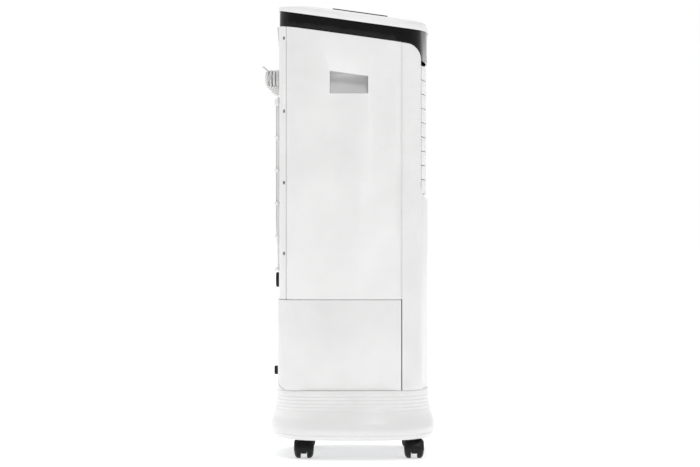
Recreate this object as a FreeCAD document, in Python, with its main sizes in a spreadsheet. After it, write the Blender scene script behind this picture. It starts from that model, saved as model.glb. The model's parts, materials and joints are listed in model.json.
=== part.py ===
import FreeCAD, Part
import math
import os
import re

import Sketcher

# Tower evaporative cooler, millimetres. X is the width, -Y is the front, +Y is the rear, +Z is up.
# The origin is on the floor under the middle of the base.

doc = FreeCAD.newDocument("evaporative_cooler")

DIMS = {
    # casing plan and heights
    "half_width": 150.0, "rear_y": 131.0, "front_y": -136.5, "side_bow": 6.0, "front_bow": 24.5,
    "rear_radius": 36.0, "front_radius": 58.0, "wall": 2.2, "gap": 0.4, "beyond": 200.0,
    "seam_y": -86.6, "corner_y": 117.2, "skirt_top": 123.0, "tank_top": 283.0,
    "panel_low": 283.8, "flare_low": 715.0, "flare_out": 3.5, "casing_high": 830.0,
    # sloping top
    "slope": 0.138, "band_low": 748.7, "band_high": 781.1, "lid_rise": 16.7, "crown_radius": 1600.0,
    "band_inset": 1.2, "band_wall": 2.6, "fascia_low": 707.0, "cheek_y": -121.0,
    "cheek_rear": -95.0, "cheek_sag": 7.6, "cove_y": -140.0, "cove_sag": 5.0,
    "lid_rear": 132.5, "lid_front": -137.5, "panel_rise": 2.2, "panel_half": 88.0,
    "panel_front": -62.0, "panel_rear": 36.0,
    # hand recess
    "recess_front": -27.0, "recess_rear": 40.5, "recess_low": 646.5, "recess_high": 686.5,
    "recess_slant": 9.5, "recess_depth": 28.0, "recess_rise": 22.0, "recess_lip": 5.0,
    # base
    "base_half_width": 170.0, "base_half_depth": 149.3, "skirt_wall": 2.5, "pan_low": 46.0,
    "pan_wall": 3.0, "boss_radius": 9.0, "stem_low": 20.5, "stem_long": 42.5,
    # floor over the tank
    "floor_low": 286.0, "floor_high": 290.0, "floor_half": 128.0, "floor_front": -92.0,
    "floor_rear": 84.0, "apron_half": 118.0, "apron_rear": -88.4, "post_x": 97.0, "post_wall": 3.0,
    # outlet
    "outlet_low": 463.0, "outlet_high": 706.5, "frame_half": 106.0, "frame_front": -120.0,
    "frame_rear": -82.0, "frame_wall": 2.8, "frame_low": 461.5, "louvre_first": 483.6,
    "louvre_pitch": 25.4, "louvre_tall": 24.2, "louvre_half": 98.0, "louvre_y": -133.7,
    "louvre_thick": 3.2, "pivot_y": -117.5, "crank_y": -109.5, "crank_radius": 1.2,
    "ear_half": 3.5, "ear_thick": 2.6, "pin_radius": 1.5, "pin_play": 0.05,
    "vane_y": -95.0, "vane_pitch": 40.0, "vane_half": 11.0, "vane_low": 466.0, "vane_high": 703.0,
    "vane_thick": 2.0, "vane_hub": 2.4, "vane_crank_y": -86.5, "vane_crank": 1.0,
    "swing_radius": 12.0, "swing_tall": 18.0,
    # air and water
    "roller_y": -22.0, "roller_radius": 46.0, "roller_low": 470.0, "roller_high": 698.0,
    "shaft_radius": 4.0, "disc": 3.0, "blade_root": 11.5, "blade_long": 11.0, "blade_half": 0.7,
    "deck_low": 452.0, "deck_high": 455.0, "cap_low": 711.0, "cap_high": 714.0,
    "blower_half": 101.0, "blower_front": -80.0, "blower_rear": 58.0, "motor_radius": 38.0,
    "motor_long": 55.0, "pad_half": 98.0, "pad_front": 94.0, "pad_rear": 119.0, "pad_low": 342.0,
    "pad_high": 638.0, "pad_rim": 3.0, "tray_low": 642.4, "tray_high": 664.0, "tray_floor": 2.6,
    "filter_front": 122.4, "filter_rear": 125.4, "filter_gap": 1.5,
    "tank_rear": 133.0, "tank_front": -85.4, "tank_low": 123.6, "tank_wall": 2.6,
    "tank_floor": 3.0, "tank_round": 19.5, "pump_x": -108.0, "pump_y": 96.0, "pump_radius": 19.0,
    "pump_high": 166.0, "hose_radius": 5.0, "hose_bore": 3.4,
    # grille
    "grille_half": 114.0, "grille_low": 332.0, "grille_high": 643.0, "grille_pitch": 60.0,
    "grille_rear": 142.0, "grille_front": 127.0, "rib_tall": 6.0, "rib_top": 13.0,
    "rib_corner": 8.0, "slat_pitch": 8.0, "slat_half": 1.2, "intake_half": 104.0,
    "intake_low": 340.0, "intake_high": 632.0,
    # rear fittings
    "latch_z": 316.0, "latch_radius": 13.7, "latch_rear": 140.0, "latch_reach": 41.0,
    "latch_half": 5.0, "drain_z": 151.0, "drain_radius": 5.5, "drain_cap": 8.0,
    "hook_half": 6.0, "hook_rear": 148.8, "hook_low": 652.0, "hook_high": 662.8,
    "boss_x": 102.0, "boss_long": 7.0, "board_low": 722.0, "board_half": 80.0,
    # cord
    "cord_radius": 2.65, "relief_y": 138.0, "relief_z": 693.0, "relief_long": 20.0,
    "relief_tip": 3.3, "relief_root": 5.6, "hank_left": -60.0, "hank_right": 50.0,
    "hank_front": 133.2, "hank_rear": 155.2, "hank_z": 680.0, "hank_half": 17.0,
    "tie_x": -11.5, "tie_half": 12.0, "tie_wide": 3.0, "tie_thick": 1.1,
    "plug_x": 64.0, "plug_y": 141.0, "plug_z": 671.0, "plug_pin": 2.0, "pin_apart": 18.6,
    # casters
    "caster_x": 90.0, "caster_front": -109.0, "caster_rear": 87.0, "trail": 9.5,
    "wheel_radius": 16.6, "hood_radius": 18.9, "hood_half": 17.6, "web_half": 5.0,
    "stem_radius": 3.0, "axle_radius": 2.5, "notch_top": 9.0,
}

sheet = doc.addObject("Spreadsheet::Sheet", "Dims")
for row, (alias, number) in enumerate(DIMS.items(), start=1):
    sheet.set(f"A{row}", alias)
    sheet.set(f"B{row}", str(number))
    sheet.setAlias(f"B{row}", alias)
doc.recompute()

# Formulas used by several sub-parts, written in the sheet's aliases.
CORNER_X = "(half_width - side_bow)"
BOW_RADIUS = f"({CORNER_X}^2 + front_bow^2) / (2 * front_bow)"
BLADE_SAG = f"(({BOW_RADIUS}) - sqrt(({BOW_RADIUS})^2 - louvre_half^2))"


def bound(text):
    """The expression with each alias written as Dims.alias."""
    def name(word):
        return "Dims." + word.group() if word.group() in DIMS else word.group()
    return re.sub(r"[a-z_]+", name, str(text))


def value(text):
    """The present value of an expression, in millimetres."""
    return float(sheet.evalExpression(bound(text)))


# ---------------------------------------------------------------- sketches and features

def bulge_centre(start, end, sag):
    """Centre and radius of the arc from start to end that bulges sag to the right of the way."""
    chord = math.dist(start, end)
    radius = (chord ** 2 / 4 + sag ** 2) / (2 * abs(sag))
    side = math.copysign(radius - abs(sag), sag)
    along = ((end[0] - start[0]) / chord, (end[1] - start[1]) / chord)
    middle = ((start[0] + end[0]) / 2, (start[1] + end[1]) / 2)
    return (middle[0] - along[1] * side, middle[1] + along[0] * side), radius


def add_circle(sketch, u, v, radius):
    centre = FreeCAD.Vector(value(u), value(v), 0)
    index = sketch.addGeometry(Part.Circle(centre, FreeCAD.Vector(0, 0, 1), value(radius)), False)
    bind(sketch, Sketcher.Constraint("DistanceX", -1, 1, index, 3, value(u)), u)
    bind(sketch, Sketcher.Constraint("DistanceY", -1, 1, index, 3, value(v)), v)
    bind(sketch, Sketcher.Constraint("Radius", index, value(radius)), radius)


def bind(sketch, constraint, text):
    index = sketch.addConstraint(constraint)
    sketch.setExpression(f"Constraints[{index}]", bound(text))


def add_loop(sketch, points):
    """A closed loop of points (u, v) or (u, v, sag); sag makes the way to the next point an arc."""
    ends = []
    first = sketch.GeometryCount
    for number, point in enumerate(points):
        following = points[(number + 1) % len(points)]
        start = (value(point[0]), value(point[1]))
        end = (value(following[0]), value(following[1]))
        if len(point) == 2:
            line = Part.LineSegment(FreeCAD.Vector(*start, 0), FreeCAD.Vector(*end, 0))
            sketch.addGeometry(line, False)
            ends.append((1, 2))
            continue
        sag = value(point[2])
        centre, radius = bulge_centre(start, end, sag)
        low, high = (start, end) if sag > 0 else (end, start)
        angles = [math.atan2(spot[1] - centre[1], spot[0] - centre[0]) for spot in (low, high)]
        circle = Part.Circle(FreeCAD.Vector(*centre, 0), FreeCAD.Vector(0, 0, 1), radius)
        index = sketch.addGeometry(Part.ArcOfCircle(circle, *angles), False)
        ends.append((1, 2) if sag > 0 else (2, 1))
        span = f"(({following[0]} - ({point[0]}))^2 + ({following[1]} - ({point[1]}))^2)"
        formula = f"{span} / (8 * abs({point[2]})) + abs({point[2]}) / 2"
        bind(sketch, Sketcher.Constraint("Radius", index, radius), formula)
    for number, point in enumerate(points):
        here = first + number
        after = first + (number + 1) % len(points)
        joint = (here, ends[number][1], after, ends[(number + 1) % len(points)][0])
        sketch.addConstraint(Sketcher.Constraint("Coincident", *joint))
        place = (-1, 1, here, ends[number][0])
        bind(sketch, Sketcher.Constraint("DistanceX", *place, value(point[0])), point[0])
        bind(sketch, Sketcher.Constraint("DistanceY", *place, value(point[1])), point[1])


def rectangle(u_low, u_high, v_low, v_high):
    return [(u_low, v_low), (u_high, v_low), (u_high, v_high), (u_low, v_high)]


def circle(u, v, radius):
    return ("circle", u, v, radius)


def new_body(name):
    return doc.addObject("PartDesign::Body", name)


def extrude(body, kind, plane, low, high, loops):
    """A Pad or Pocket of the loops between two levels along the axis that the plane faces."""
    sketch = body.newObject("Sketcher::SketchObject", f"{body.Name}_sketch")
    origin = [item for item in body.Origin.OriginFeatures if item.Role == plane + "_Plane"][0]
    sketch.AttachmentSupport = [(origin, "")]
    sketch.MapMode = "FlatFace"
    from_low = (kind == "Pad") != (plane == "XZ")
    level = f"-({high if kind == 'Pad' else low})" if plane == "XZ" else (low if from_low else high)
    sketch.setExpression("AttachmentOffset.Base.z", bound(level))
    for loop in loops:
        if loop[0] == "circle":
            add_circle(sketch, *loop[1:])
        else:
            add_loop(sketch, loop)
    feature = body.newObject("PartDesign::" + kind, f"{body.Name}_{kind}")
    feature.Profile = sketch
    feature.setExpression("Length", bound(f"({high}) - ({low})"))
    return feature


def prism(name, plane, low, high, *loops):
    body = new_body(name)
    extrude(body, "Pad", plane, low, high, loops)
    return body


def box(name, x_range, y_range, z_range):
    item = doc.addObject("Part::Box", name)
    for size, place, (low, high) in zip(("Length", "Width", "Height"), "xyz",
                                        (x_range, y_range, z_range)):
        item.setExpression(size, bound(f"({high}) - ({low})"))
        item.setExpression("Placement.Base." + place, bound(low))
    return item


TURNS = {"X": FreeCAD.Rotation(FreeCAD.Vector(0, 1, 0), 90), "Z": FreeCAD.Rotation(),
         "Y": FreeCAD.Rotation(FreeCAD.Vector(1, 0, 0), -90)}


def cylinder(name, axis, radius, length, base):
    """A cylinder that starts at base and runs along +axis."""
    item = doc.addObject("Part::Cylinder", name)
    item.Placement = FreeCAD.Placement(FreeCAD.Vector(), TURNS[axis])
    item.setExpression("Radius", bound(radius))
    item.setExpression("Height", bound(length))
    for place, text in zip("xyz", base):
        item.setExpression("Placement.Base." + place, bound(text))
    return item


def cone(name, axis, radius_a, radius_b, length, base):
    item = doc.addObject("Part::Cone", name)
    item.Placement = FreeCAD.Placement(FreeCAD.Vector(), TURNS[axis])
    item.setExpression("Radius1", bound(radius_a))
    item.setExpression("Radius2", bound(radius_b))
    item.setExpression("Height", bound(length))
    for place, text in zip("xyz", base):
        item.setExpression("Placement.Base." + place, bound(text))
    return item


def cut(name, base, tool):
    item = doc.addObject("Part::Cut", name)
    item.Base = base
    item.Tool = tool
    return item


def common(name, *shapes):
    item = doc.addObject("Part::MultiCommon", name)
    item.Shapes = list(shapes)
    return item


def fuse(name, *shapes):
    item = doc.addObject("Part::MultiFuse", name)
    item.Shapes = list(shapes)
    item.Refine = True
    return item


nodes = []


def keep(node, item):
    """Names the sub-part and puts it on the list that is written out."""
    item.Label = node
    nodes.append(item)
    return item


# ---------------------------------------------------------------- shared casing volumes

def upright_edges(feature, front):
    """Names of the corner edges that stand along Z, at the front or at the rear."""
    names = []
    for number, edge in enumerate(feature.Shape.Edges, start=1):
        ends = [corner.Point for corner in edge.Vertexes]
        upright = len(ends) == 2 and math.hypot(ends[0].x - ends[1].x, ends[0].y - ends[1].y) < 0.01
        if upright and (ends[0].y < 0) == front:
            names.append(f"Edge{number}")
    return names


def casing_block(name, inset, rear, low, high):
    """The casing's outline moved in by inset, as a solid block with rounded corners."""
    side = f"{CORNER_X} - ({inset})"
    back = f"{rear} - ({inset})"
    front = f"front_y + front_bow + ({inset})"
    body = new_body(name)
    loop = [(side, back), (f"-({side})", back, "side_bow"), (f"-({side})", front, "front_bow"),
            (side, front, "side_bow")]
    extrude(body, "Pad", "XY", low, high, [loop])
    for is_front, radius in ((True, "front_radius"), (False, "rear_radius")):
        doc.recompute()
        square = body.Tip
        fillet = body.newObject("PartDesign::Fillet", name + "_round")
        fillet.Base = (square, upright_edges(square, is_front))
        fillet.setExpression("Radius", bound(f"{radius} - ({inset})"))
    return body


def crown(name, rise):
    """The crowned top: a wide cylinder lying along the slope, rise above the band's top edge."""
    item = doc.addObject("Part::Cylinder", name)
    item.setExpression("Radius", bound("crown_radius"))
    item.setExpression("Height", bound("4 * beyond"))
    tilt = math.degrees(math.atan(value("slope"))) - 90
    item.Placement.Rotation = FreeCAD.Rotation(FreeCAD.Vector(1, 0, 0), tilt)
    across = "crown_radius * sqrt(1 + slope^2)"
    item.setExpression("Placement.Base.y", bound("-2 * beyond"))
    item.setExpression("Placement.Base.z",
                       bound(f"band_high + {rise} - 2 * beyond * slope - {across}"))
    return item


def slope_z(level, y, rise="0"):
    return f"{level} + slope * ({y}) + {rise}"


def build_shared():
    """Blocks and shells that several sub-parts are cut from."""
    shared = {}
    shared["outer"] = casing_block("outer_block", "0", "rear_y", "skirt_top", "casing_high")
    inner = casing_block("inner_block", "wall", "rear_y", "skirt_top - 10", "casing_high + 10")
    shared["ring"] = cut("casing_ring", shared["outer"], inner)
    band_outer = casing_block("band_outer", "band_inset", "rear_y", "tank_top", "casing_high")
    band_inner = casing_block("band_inner", "band_inset + band_wall", "rear_y", "tank_top - 10",
                              "casing_high + 10")
    shared["band_ring"] = cut("band_ring", band_outer, band_inner)
    shared["lid_block"] = casing_block("lid_block", "-0.8", "rear_y", "fascia_low", "casing_high")
    shared["band_top"] = crown("band_top", "0")
    shared["lid_top"] = crown("lid_top", "lid_rise")
    shared["panel_top"] = crown("panel_top", "lid_rise + panel_rise")
    shared["tank_outer"] = casing_block("tank_outer", "0", "tank_rear", "tank_low", "tank_top")
    shared["tank_inner"] = casing_block("tank_inner", "tank_wall", "tank_rear",
                                        "tank_low + tank_floor", "tank_top + 10")
    return shared


# ---------------------------------------------------------------- casing

def build_front_shell(shared):
    """Wraps the front from the skirt to the band, with the cheeks each side of the louvres."""
    rear = "seam_y - gap"
    profile = [("cove_y", "skirt_top + gap"), (rear, "skirt_top + gap"),
               (rear, slope_z("band_low", rear)),
               ("cheek_rear", slope_z("band_low", "cheek_rear"), "cheek_sag"),
               ("cheek_y", "fascia_low + 1"), ("cheek_y", "outlet_low + 28", "-cove_sag"),
               ("cove_y + 6", "outlet_low - 0.5"), ("cove_y", "outlet_low - 2")]
    side = prism("front_profile", "YZ", "-beyond", "beyond", profile)
    keep("front_shell", common("front_shell", shared["ring"], side))


def build_side_panel(shared, name, sign):
    """The long side shell between the front seam and the rear corner, with its hand recess."""
    profile = [("seam_y + gap", "panel_low"), ("corner_y - gap", "panel_low"),
               ("corner_y - gap", slope_z("band_low", "corner_y - gap")),
               ("seam_y + gap", slope_z("band_low", "seam_y + gap"))]
    span = ("0", "beyond") if sign > 0 else ("-beyond", "0")
    skin = common(name + "_skin", shared["ring"], prism(name + "_side", "YZ", *span, profile))
    mouth = [("recess_front", "recess_low"), ("recess_rear", "recess_low"),
             ("recess_rear", "recess_high"), ("recess_front", "recess_high - recess_slant")]
    hole = cut(name + "_open", skin, prism(name + "_mouth", "YZ", *span, mouth))
    cup = cut(name + "_cup", recess_wedge(name + "_wall", sign, 2),
              recess_wedge(name + "_hollow", sign, 0))
    trimmed = common(name + "_trim", cup, shared["outer"])
    keep(name, fuse(name, hole, trimmed))


def recess_wedge(name, sign, grow):
    """The scooped hand recess: deep under its upper edge, running out at its lower edge."""
    edge = "half_width + gap"
    run_out = f"half_width - recess_lip - {grow}"
    deep = f"half_width - recess_depth - {grow}"
    low = f"recess_low - {grow}"
    high = f"recess_high + {grow}"
    corners = [(run_out, low), (edge, low), (edge, high), (deep, f"{high} - 3"),
               (deep, f"{low} + recess_rise")]
    loop = [(f"{sign} * ({x})", z) for x, z in corners]
    return prism(name, "XZ", f"recess_front - {grow}", f"recess_rear + {grow}", loop)


def build_rear_panel(shared):
    """The back shell: rounded corner strips, the intake opening, hooks and the cord boss."""
    rear = "rear_y + gap"
    profile = [("corner_y + gap", "panel_low"), (rear, "panel_low"),
               (rear, slope_z("band_low", rear)),
               ("corner_y + gap", slope_z("band_low", "corner_y + gap"))]
    skin = common("rear_skin", shared["ring"],
                  prism("rear_side", "YZ", "-beyond", "beyond", profile))
    out = "rear_y + flare_out"
    flare = prism("rear_flare", "YZ", "boss_x - beyond", "beyond - boss_x",
                  [("rear_y - 1", "flare_low"), (out, slope_z("band_low", out, "-3")),
                   (out, slope_z("band_low", out)), ("rear_y - 1", slope_z("band_low", "rear_y - 1"))])
    hooks = []
    tip = "hook_rear - wall"
    for x in HOOK_PLACES:
        shelf = [("rear_y - 1", "hook_low"), ("hook_rear", "hook_high - 4.3"),
                 ("hook_rear", "hook_high"), (tip, "hook_high - 0.6"), (tip, "hook_high - 2.3"),
                 ("rear_y - 1", "hook_low + 3.5")]
        hooks.append(prism("cord_hook", "YZ", f"{x} - hook_half", f"{x} + hook_half", shelf))
    boss = box("cord_boss", ("boss_x", "boss_x + boss_long"), ("rear_y - 1", "relief_y + 6.5"),
               ("relief_z - 7.5", "relief_z + 7"))
    whole = fuse("rear_whole", skin, flare, boss, *hooks)
    opening = box("intake_cut", ("-intake_half", "intake_half"), ("pad_rear", "grille_rear"),
                  ("intake_low", "intake_high"))
    pivot = cylinder("latch_bore", "Y", "shaft_radius + pin_play", "20",
                     ("0", "rear_y - 10", "latch_z"))
    holes = fuse("rear_holes", screw_tools("hole", "1.7", "3.4", "8"), pivot)
    keep("rear_panel", cut("rear_panel", cut("rear_open", whole, opening), holes))


HOOK_PLACES = ("-40", "28")
SCREW_HEIGHTS = ("365", "490", "616", "745")


def screw_tools(name, shank, head, head_tall):
    """Eight countersunk screws square to the rounded rear corners, or the holes for them."""
    shapes = []
    middle = f"({CORNER_X} - rear_radius)"
    diagonal = f"{math.sqrt(0.5):.5f}"
    for sign in (-1, 1):
        turn = FreeCAD.Rotation(FreeCAD.Vector(0, 0, 1), 45 if sign > 0 else 135)
        turn = turn.multiply(TURNS["X"])
        for height in SCREW_HEIGHTS:
            for part, radius, tall, reach in (("shank", shank, "12", "-11.6"),
                                              ("head", head, head_tall, "-1")):
                item = doc.addObject("Part::Cylinder", f"{name}_{part}")
                item.Placement = FreeCAD.Placement(FreeCAD.Vector(), turn)
                item.setExpression("Radius", bound(radius))
                item.setExpression("Height", bound(tall))
                out = f"(rear_radius + {reach}) * {diagonal}"
                item.setExpression("Placement.Base.x", bound(f"{sign} * ({middle} + {out})"))
                item.setExpression("Placement.Base.y", bound(f"rear_y - rear_radius + {out}"))
                item.setExpression("Placement.Base.z", bound(height))
                shapes.append(item)
    return fuse(name + "_set", *shapes)


def build_band_and_lid(shared):
    """The black band with its front fascia, the crowned lid and the touch panel on it."""
    start = "cheek_y - gap"
    profile = [("cove_y", "fascia_low"), (start, "fascia_low + 0.5"),
               (start, "fascia_low + 1.2", "-cheek_sag"),
               ("cheek_rear", slope_z("band_low", "cheek_rear", "gap")),
               ("beyond", slope_z("band_low", "beyond", "gap")), ("beyond", "casing_high"),
               ("cove_y", "casing_high")]
    side = prism("band_profile", "YZ", "-beyond", "beyond", profile)
    keep("trim_band", common("trim_band", shared["band_ring"], side, shared["band_top"]))
    cap = [("lid_front - 8", "fascia_low"), ("lid_rear", "fascia_low"), ("lid_rear", "795", "2"),
           ("126", "802", "1"), ("100", "804.4", "0.5"), ("38", "803.6"), ("-128", "781.5", "4"),
           ("lid_front", "770"), ("lid_front", "750")]
    crowned = common("lid_crown", shared["lid_block"],
                     prism("lid_profile", "YZ", "-beyond", "beyond", cap), shared["lid_top"])
    keep("top_lid", cut("top_lid", crowned, shared["band_top"]))
    plate = common("panel_crown", box("panel_box", ("-panel_half", "panel_half"),
                                      ("panel_front", "panel_rear"), ("fascia_low", "casing_high")),
                   shared["panel_top"])
    keep("control_panel", cut("control_panel", plate, shared["lid_top"]))


def superellipse(half_width, half_depth, z, front_power, rear_power):
    """A closed rounded outline; the front and rear halves each have their own squareness."""
    points = []
    for step in range(48):
        angle = 2 * math.pi * step / 48
        power = 2 / (rear_power if math.sin(angle) > 0 else front_power)
        x = math.copysign(abs(math.cos(angle)) ** power, math.cos(angle)) * half_width
        y = math.copysign(abs(math.sin(angle)) ** power, math.sin(angle)) * half_depth
        points.append(FreeCAD.Vector(x, y, z))
    curve = Part.BSplineCurve()
    curve.interpolate(points, PeriodicFlag=True)
    return Part.Wire([curve.toShape()])


# Skirt sections from the floor up: inset of the outline from the widest place, height,
# and the squareness of the front and rear halves.
SKIRT = ((6.8, 36, 2.8, 2.8), (2.2, 43, 2.8, 2.8), (0, 53, 2.8, 2.8), (1.8, 63, 2.8, 2.9),
         (5.2, 73, 2.9, 3.1), (8.6, 84, 3.1, 3.6), (11.2, 98, 3.4, 4.3), (12.7, 123, 3.6, 5.0))


def skirt_solid(inset, low_drop, high_drop):
    wires = []
    for number, (inward, z, front_power, rear_power) in enumerate(SKIRT):
        if number == 0:
            z -= low_drop
        if number == len(SKIRT) - 1:
            z += high_drop
        width = value("base_half_width") - inward * 1.25 - inset
        depth = value("base_half_depth") - inward - inset
        wires.append(superellipse(width, depth, z, front_power, rear_power))
    return Part.makeLoft(wires, True, False)


def feature(name, shape):
    item = doc.addObject("Part::Feature", name)
    item.Shape = shape
    return item


def build_base():
    """The flared skirt with its deck, and the base pan that carries the caster stems."""
    shell = skirt_solid(0, 0, 0).cut(skirt_solid(value("skirt_wall"), 1, -3))
    keep("base_skirt", feature("base_skirt", shell))
    low = value("pan_low")
    outline = superellipse(value("base_half_width") - 9, value("base_half_depth") - 7, low, 2.8, 2.8)
    pan = Part.Face(outline).extrude(FreeCAD.Vector(0, 0, value("pan_wall")))
    for x, y in caster_spots():
        pan = pan.fuse(Part.makeCylinder(value("boss_radius"), 30, FreeCAD.Vector(x, y, low - 6)))
    for x, y in caster_spots():
        pan = pan.cut(Part.makeCylinder(value("stem_radius"), 26, FreeCAD.Vector(x, y, low - 7)))
    keep("base_pan", feature("base_pan", pan.removeSplitter()))


def build_chassis():
    """The inner floor above the tank with the apron behind the front shell and two side posts."""
    body = new_body("chassis")
    extrude(body, "Pad", "XY", "floor_low", "floor_high",
            [rectangle("-floor_half", "floor_half", "floor_front", "floor_rear")])
    extrude(body, "Pad", "XY", "tank_low + gap", "floor_low + 1",
            [rectangle("-apron_half", "apron_half", "floor_front", "apron_rear")])
    posts = [rectangle("-post_x - post_wall", "-post_x", "-70", "60"),
             rectangle("post_x", "post_x + post_wall", "-70", "60")]
    extrude(body, "Pad", "XY", "floor_high - 1", "deck_low", posts)
    keep("chassis", body)


# ---------------------------------------------------------------- outlet

def louvre_level(number):
    return f"louvre_first + {number} * louvre_pitch"


def vane_place(number):
    return f"{number - 2} * vane_pitch"


def build_outlet_frame():
    """The box frame inside the outlet: side walls hold the louvres, top and bottom the vanes."""
    body = new_body("outlet_frame")
    inner = "(frame_half - frame_wall)"
    extrude(body, "Pad", "XZ", "frame_front", "frame_rear",
            [rectangle("-frame_half", "frame_half", "frame_low - frame_wall", "outlet_high"),
             rectangle(f"-{inner}", inner, "frame_low", "outlet_high - frame_wall")])
    holes = [circle("pivot_y", louvre_level(number), "pin_radius + pin_play") for number in range(9)]
    extrude(body, "Pocket", "YZ", "-beyond", "beyond", holes)
    sockets = [circle(vane_place(number), "vane_y", "pin_radius + pin_play") for number in range(5)]
    extrude(body, "Pocket", "XY", "deck_low", "cap_high", sockets)
    keep("outlet_frame", body)


def build_louvre(number):
    """A bowed blade with an ear and a pivot pin at each end, and a crank pin on the left ear."""
    level = louvre_level(number)
    body = new_body(f"louvre_blade_{number + 1}")
    rear = "louvre_y + louvre_thick"
    outline = [("-louvre_half", f"louvre_y + {BLADE_SAG}", BLADE_SAG),
               ("louvre_half", f"louvre_y + {BLADE_SAG}"),
               ("louvre_half", f"{rear} + {BLADE_SAG}", f"-{BLADE_SAG}"),
               ("-louvre_half", f"{rear} + {BLADE_SAG}")]
    extrude(body, "Pad", "XY", f"{level} - louvre_tall / 2", f"{level} + louvre_tall / 2", [outline])
    front = f"louvre_y + {BLADE_SAG} + 1"
    ears = [rectangle("-louvre_half", "-louvre_half + ear_thick", front, "crank_y + 2.4"),
            rectangle("louvre_half - ear_thick", "louvre_half", front, "pivot_y + 3")]
    extrude(body, "Pad", "XY", f"{level} - ear_half", f"{level} + ear_half", ears)
    pin = [circle("pivot_y", level, "pin_radius")]
    extrude(body, "Pad", "YZ", "louvre_half - 1", "frame_half - 0.3", pin)
    extrude(body, "Pad", "YZ", "0.3 - frame_half", "1 - louvre_half", pin)
    crank = [circle("crank_y", level, "crank_radius")]
    extrude(body, "Pad", "YZ", "-louvre_half - 4.4", "1 - louvre_half", crank)
    keep(f"louvre_blade_{number + 1}", body)


def build_louvre_bar():
    """The upright bar that ties the nine crank pins together."""
    body = new_body("louvre_link_bar")
    low = f"{louvre_level(0)} - ear_half"
    high = f"{louvre_level(8)} + ear_half"
    extrude(body, "Pad", "YZ", "-louvre_half - 4", "-louvre_half - 1.6",
            [rectangle("crank_y - 2.6", "crank_y + 2.6", low, high)])
    holes = [circle("crank_y", louvre_level(number), "crank_radius + pin_play")
             for number in range(9)]
    extrude(body, "Pocket", "YZ", "-louvre_half - 10", "-louvre_half", holes)
    keep("louvre_link_bar", body)


def build_vane(number):
    """An upright vane behind the louvres, turning on a pin at each end."""
    place = vane_place(number)
    body = new_body(f"vane_{number + 1}")
    extrude(body, "Pad", "XY", "vane_low", "vane_high",
            [rectangle(f"{place} - vane_thick / 2", f"{place} + vane_thick / 2",
                       "vane_y - vane_half", "vane_y + vane_half")])
    hub = [circle(place, "vane_y", "vane_hub")]
    extrude(body, "Pad", "XY", "vane_low - 0.6", "vane_high + 0.4", hub)
    low = "outlet_low - 9.5" if number == 2 else "outlet_low - 4.2"
    extrude(body, "Pad", "XY", low, "outlet_high - 0.2", [circle(place, "vane_y", "pin_radius")])
    extrude(body, "Pad", "XY", "vane_low - 3.4", "vane_low + 1",
            [circle(place, "vane_crank_y", "vane_crank")])
    keep(f"vane_{number + 1}", body)


def build_vane_bar():
    """The level bar under the vanes that ties their crank pins together."""
    body = new_body("vane_link_bar")
    ends = "(2 * vane_pitch + 4)"
    extrude(body, "Pad", "XY", "vane_low - 3", "vane_low - 1.2",
            [rectangle(f"-{ends}", ends, "vane_crank_y - 2.5", "vane_crank_y + 2.5")])
    holes = [circle(vane_place(number), "vane_crank_y", "vane_crank + pin_play")
             for number in range(5)]
    extrude(body, "Pocket", "XY", "vane_low - 20", "vane_low", holes)
    keep("vane_link_bar", body)


def build_swing_motor():
    """The small stepper under the frame whose socket turns the middle vane."""
    body = new_body("swing_motor")
    top = "(frame_low - frame_wall)"
    extrude(body, "Pad", "XY", f"{top} - 1.5", top,
            [rectangle("-20", "20", "vane_y - 5", "vane_y + 5")])
    extrude(body, "Pad", "XY", f"{top} - swing_tall", f"{top} - 1",
            [circle("0", "vane_y", "swing_radius")])
    extrude(body, "Pocket", "XY", f"{top} - 8", f"{top} + 2",
            [circle("0", "vane_y", "pin_radius + pin_play")])
    keep("swing_motor", body)


# ---------------------------------------------------------------- air path

BLADES = 24


def build_roller():
    """The cross-flow roller: three discs joined by a ring of slanted blades, on a shaft."""
    body = new_body("fan_roller")
    shaft = [circle("0", "roller_y", "shaft_radius")]
    rim = [circle("0", "roller_y", "roller_radius")]
    extrude(body, "Pad", "XY", "roller_low - 30", "roller_high + 15", shaft)
    for level in ("roller_low", "(roller_low + roller_high - disc) / 2", "roller_high - disc"):
        extrude(body, "Pad", "XY", level, f"{level} + disc", rim)
    blades = [roller_blade(number) for number in range(BLADES)]
    extrude(body, "Pad", "XY", "roller_low + 1", "roller_high - 1", blades)
    keep("fan_roller", body)


def roller_blade(number):
    """One blade's section: a thin rectangle at the rim that leans forward."""
    around = 2 * math.pi * number / BLADES
    lean = around + math.radians(22)
    root = "(roller_radius - blade_root)"
    corners = []
    for out, side in ((0, 1), (0, -1), (1, -1), (1, 1)):
        along_u = f"{out} * blade_long * {math.cos(lean):.5f}"
        along_v = f"{out} * blade_long * {math.sin(lean):.5f}"
        u = f"{root} * {math.cos(around):.5f} + {along_u} - {side} * blade_half * {math.sin(lean):.5f}"
        v = f"{root} * {math.sin(around):.5f} + {along_v} + {side} * blade_half * {math.cos(lean):.5f}"
        corners.append((u, f"roller_y + {v}"))
    return corners


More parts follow.
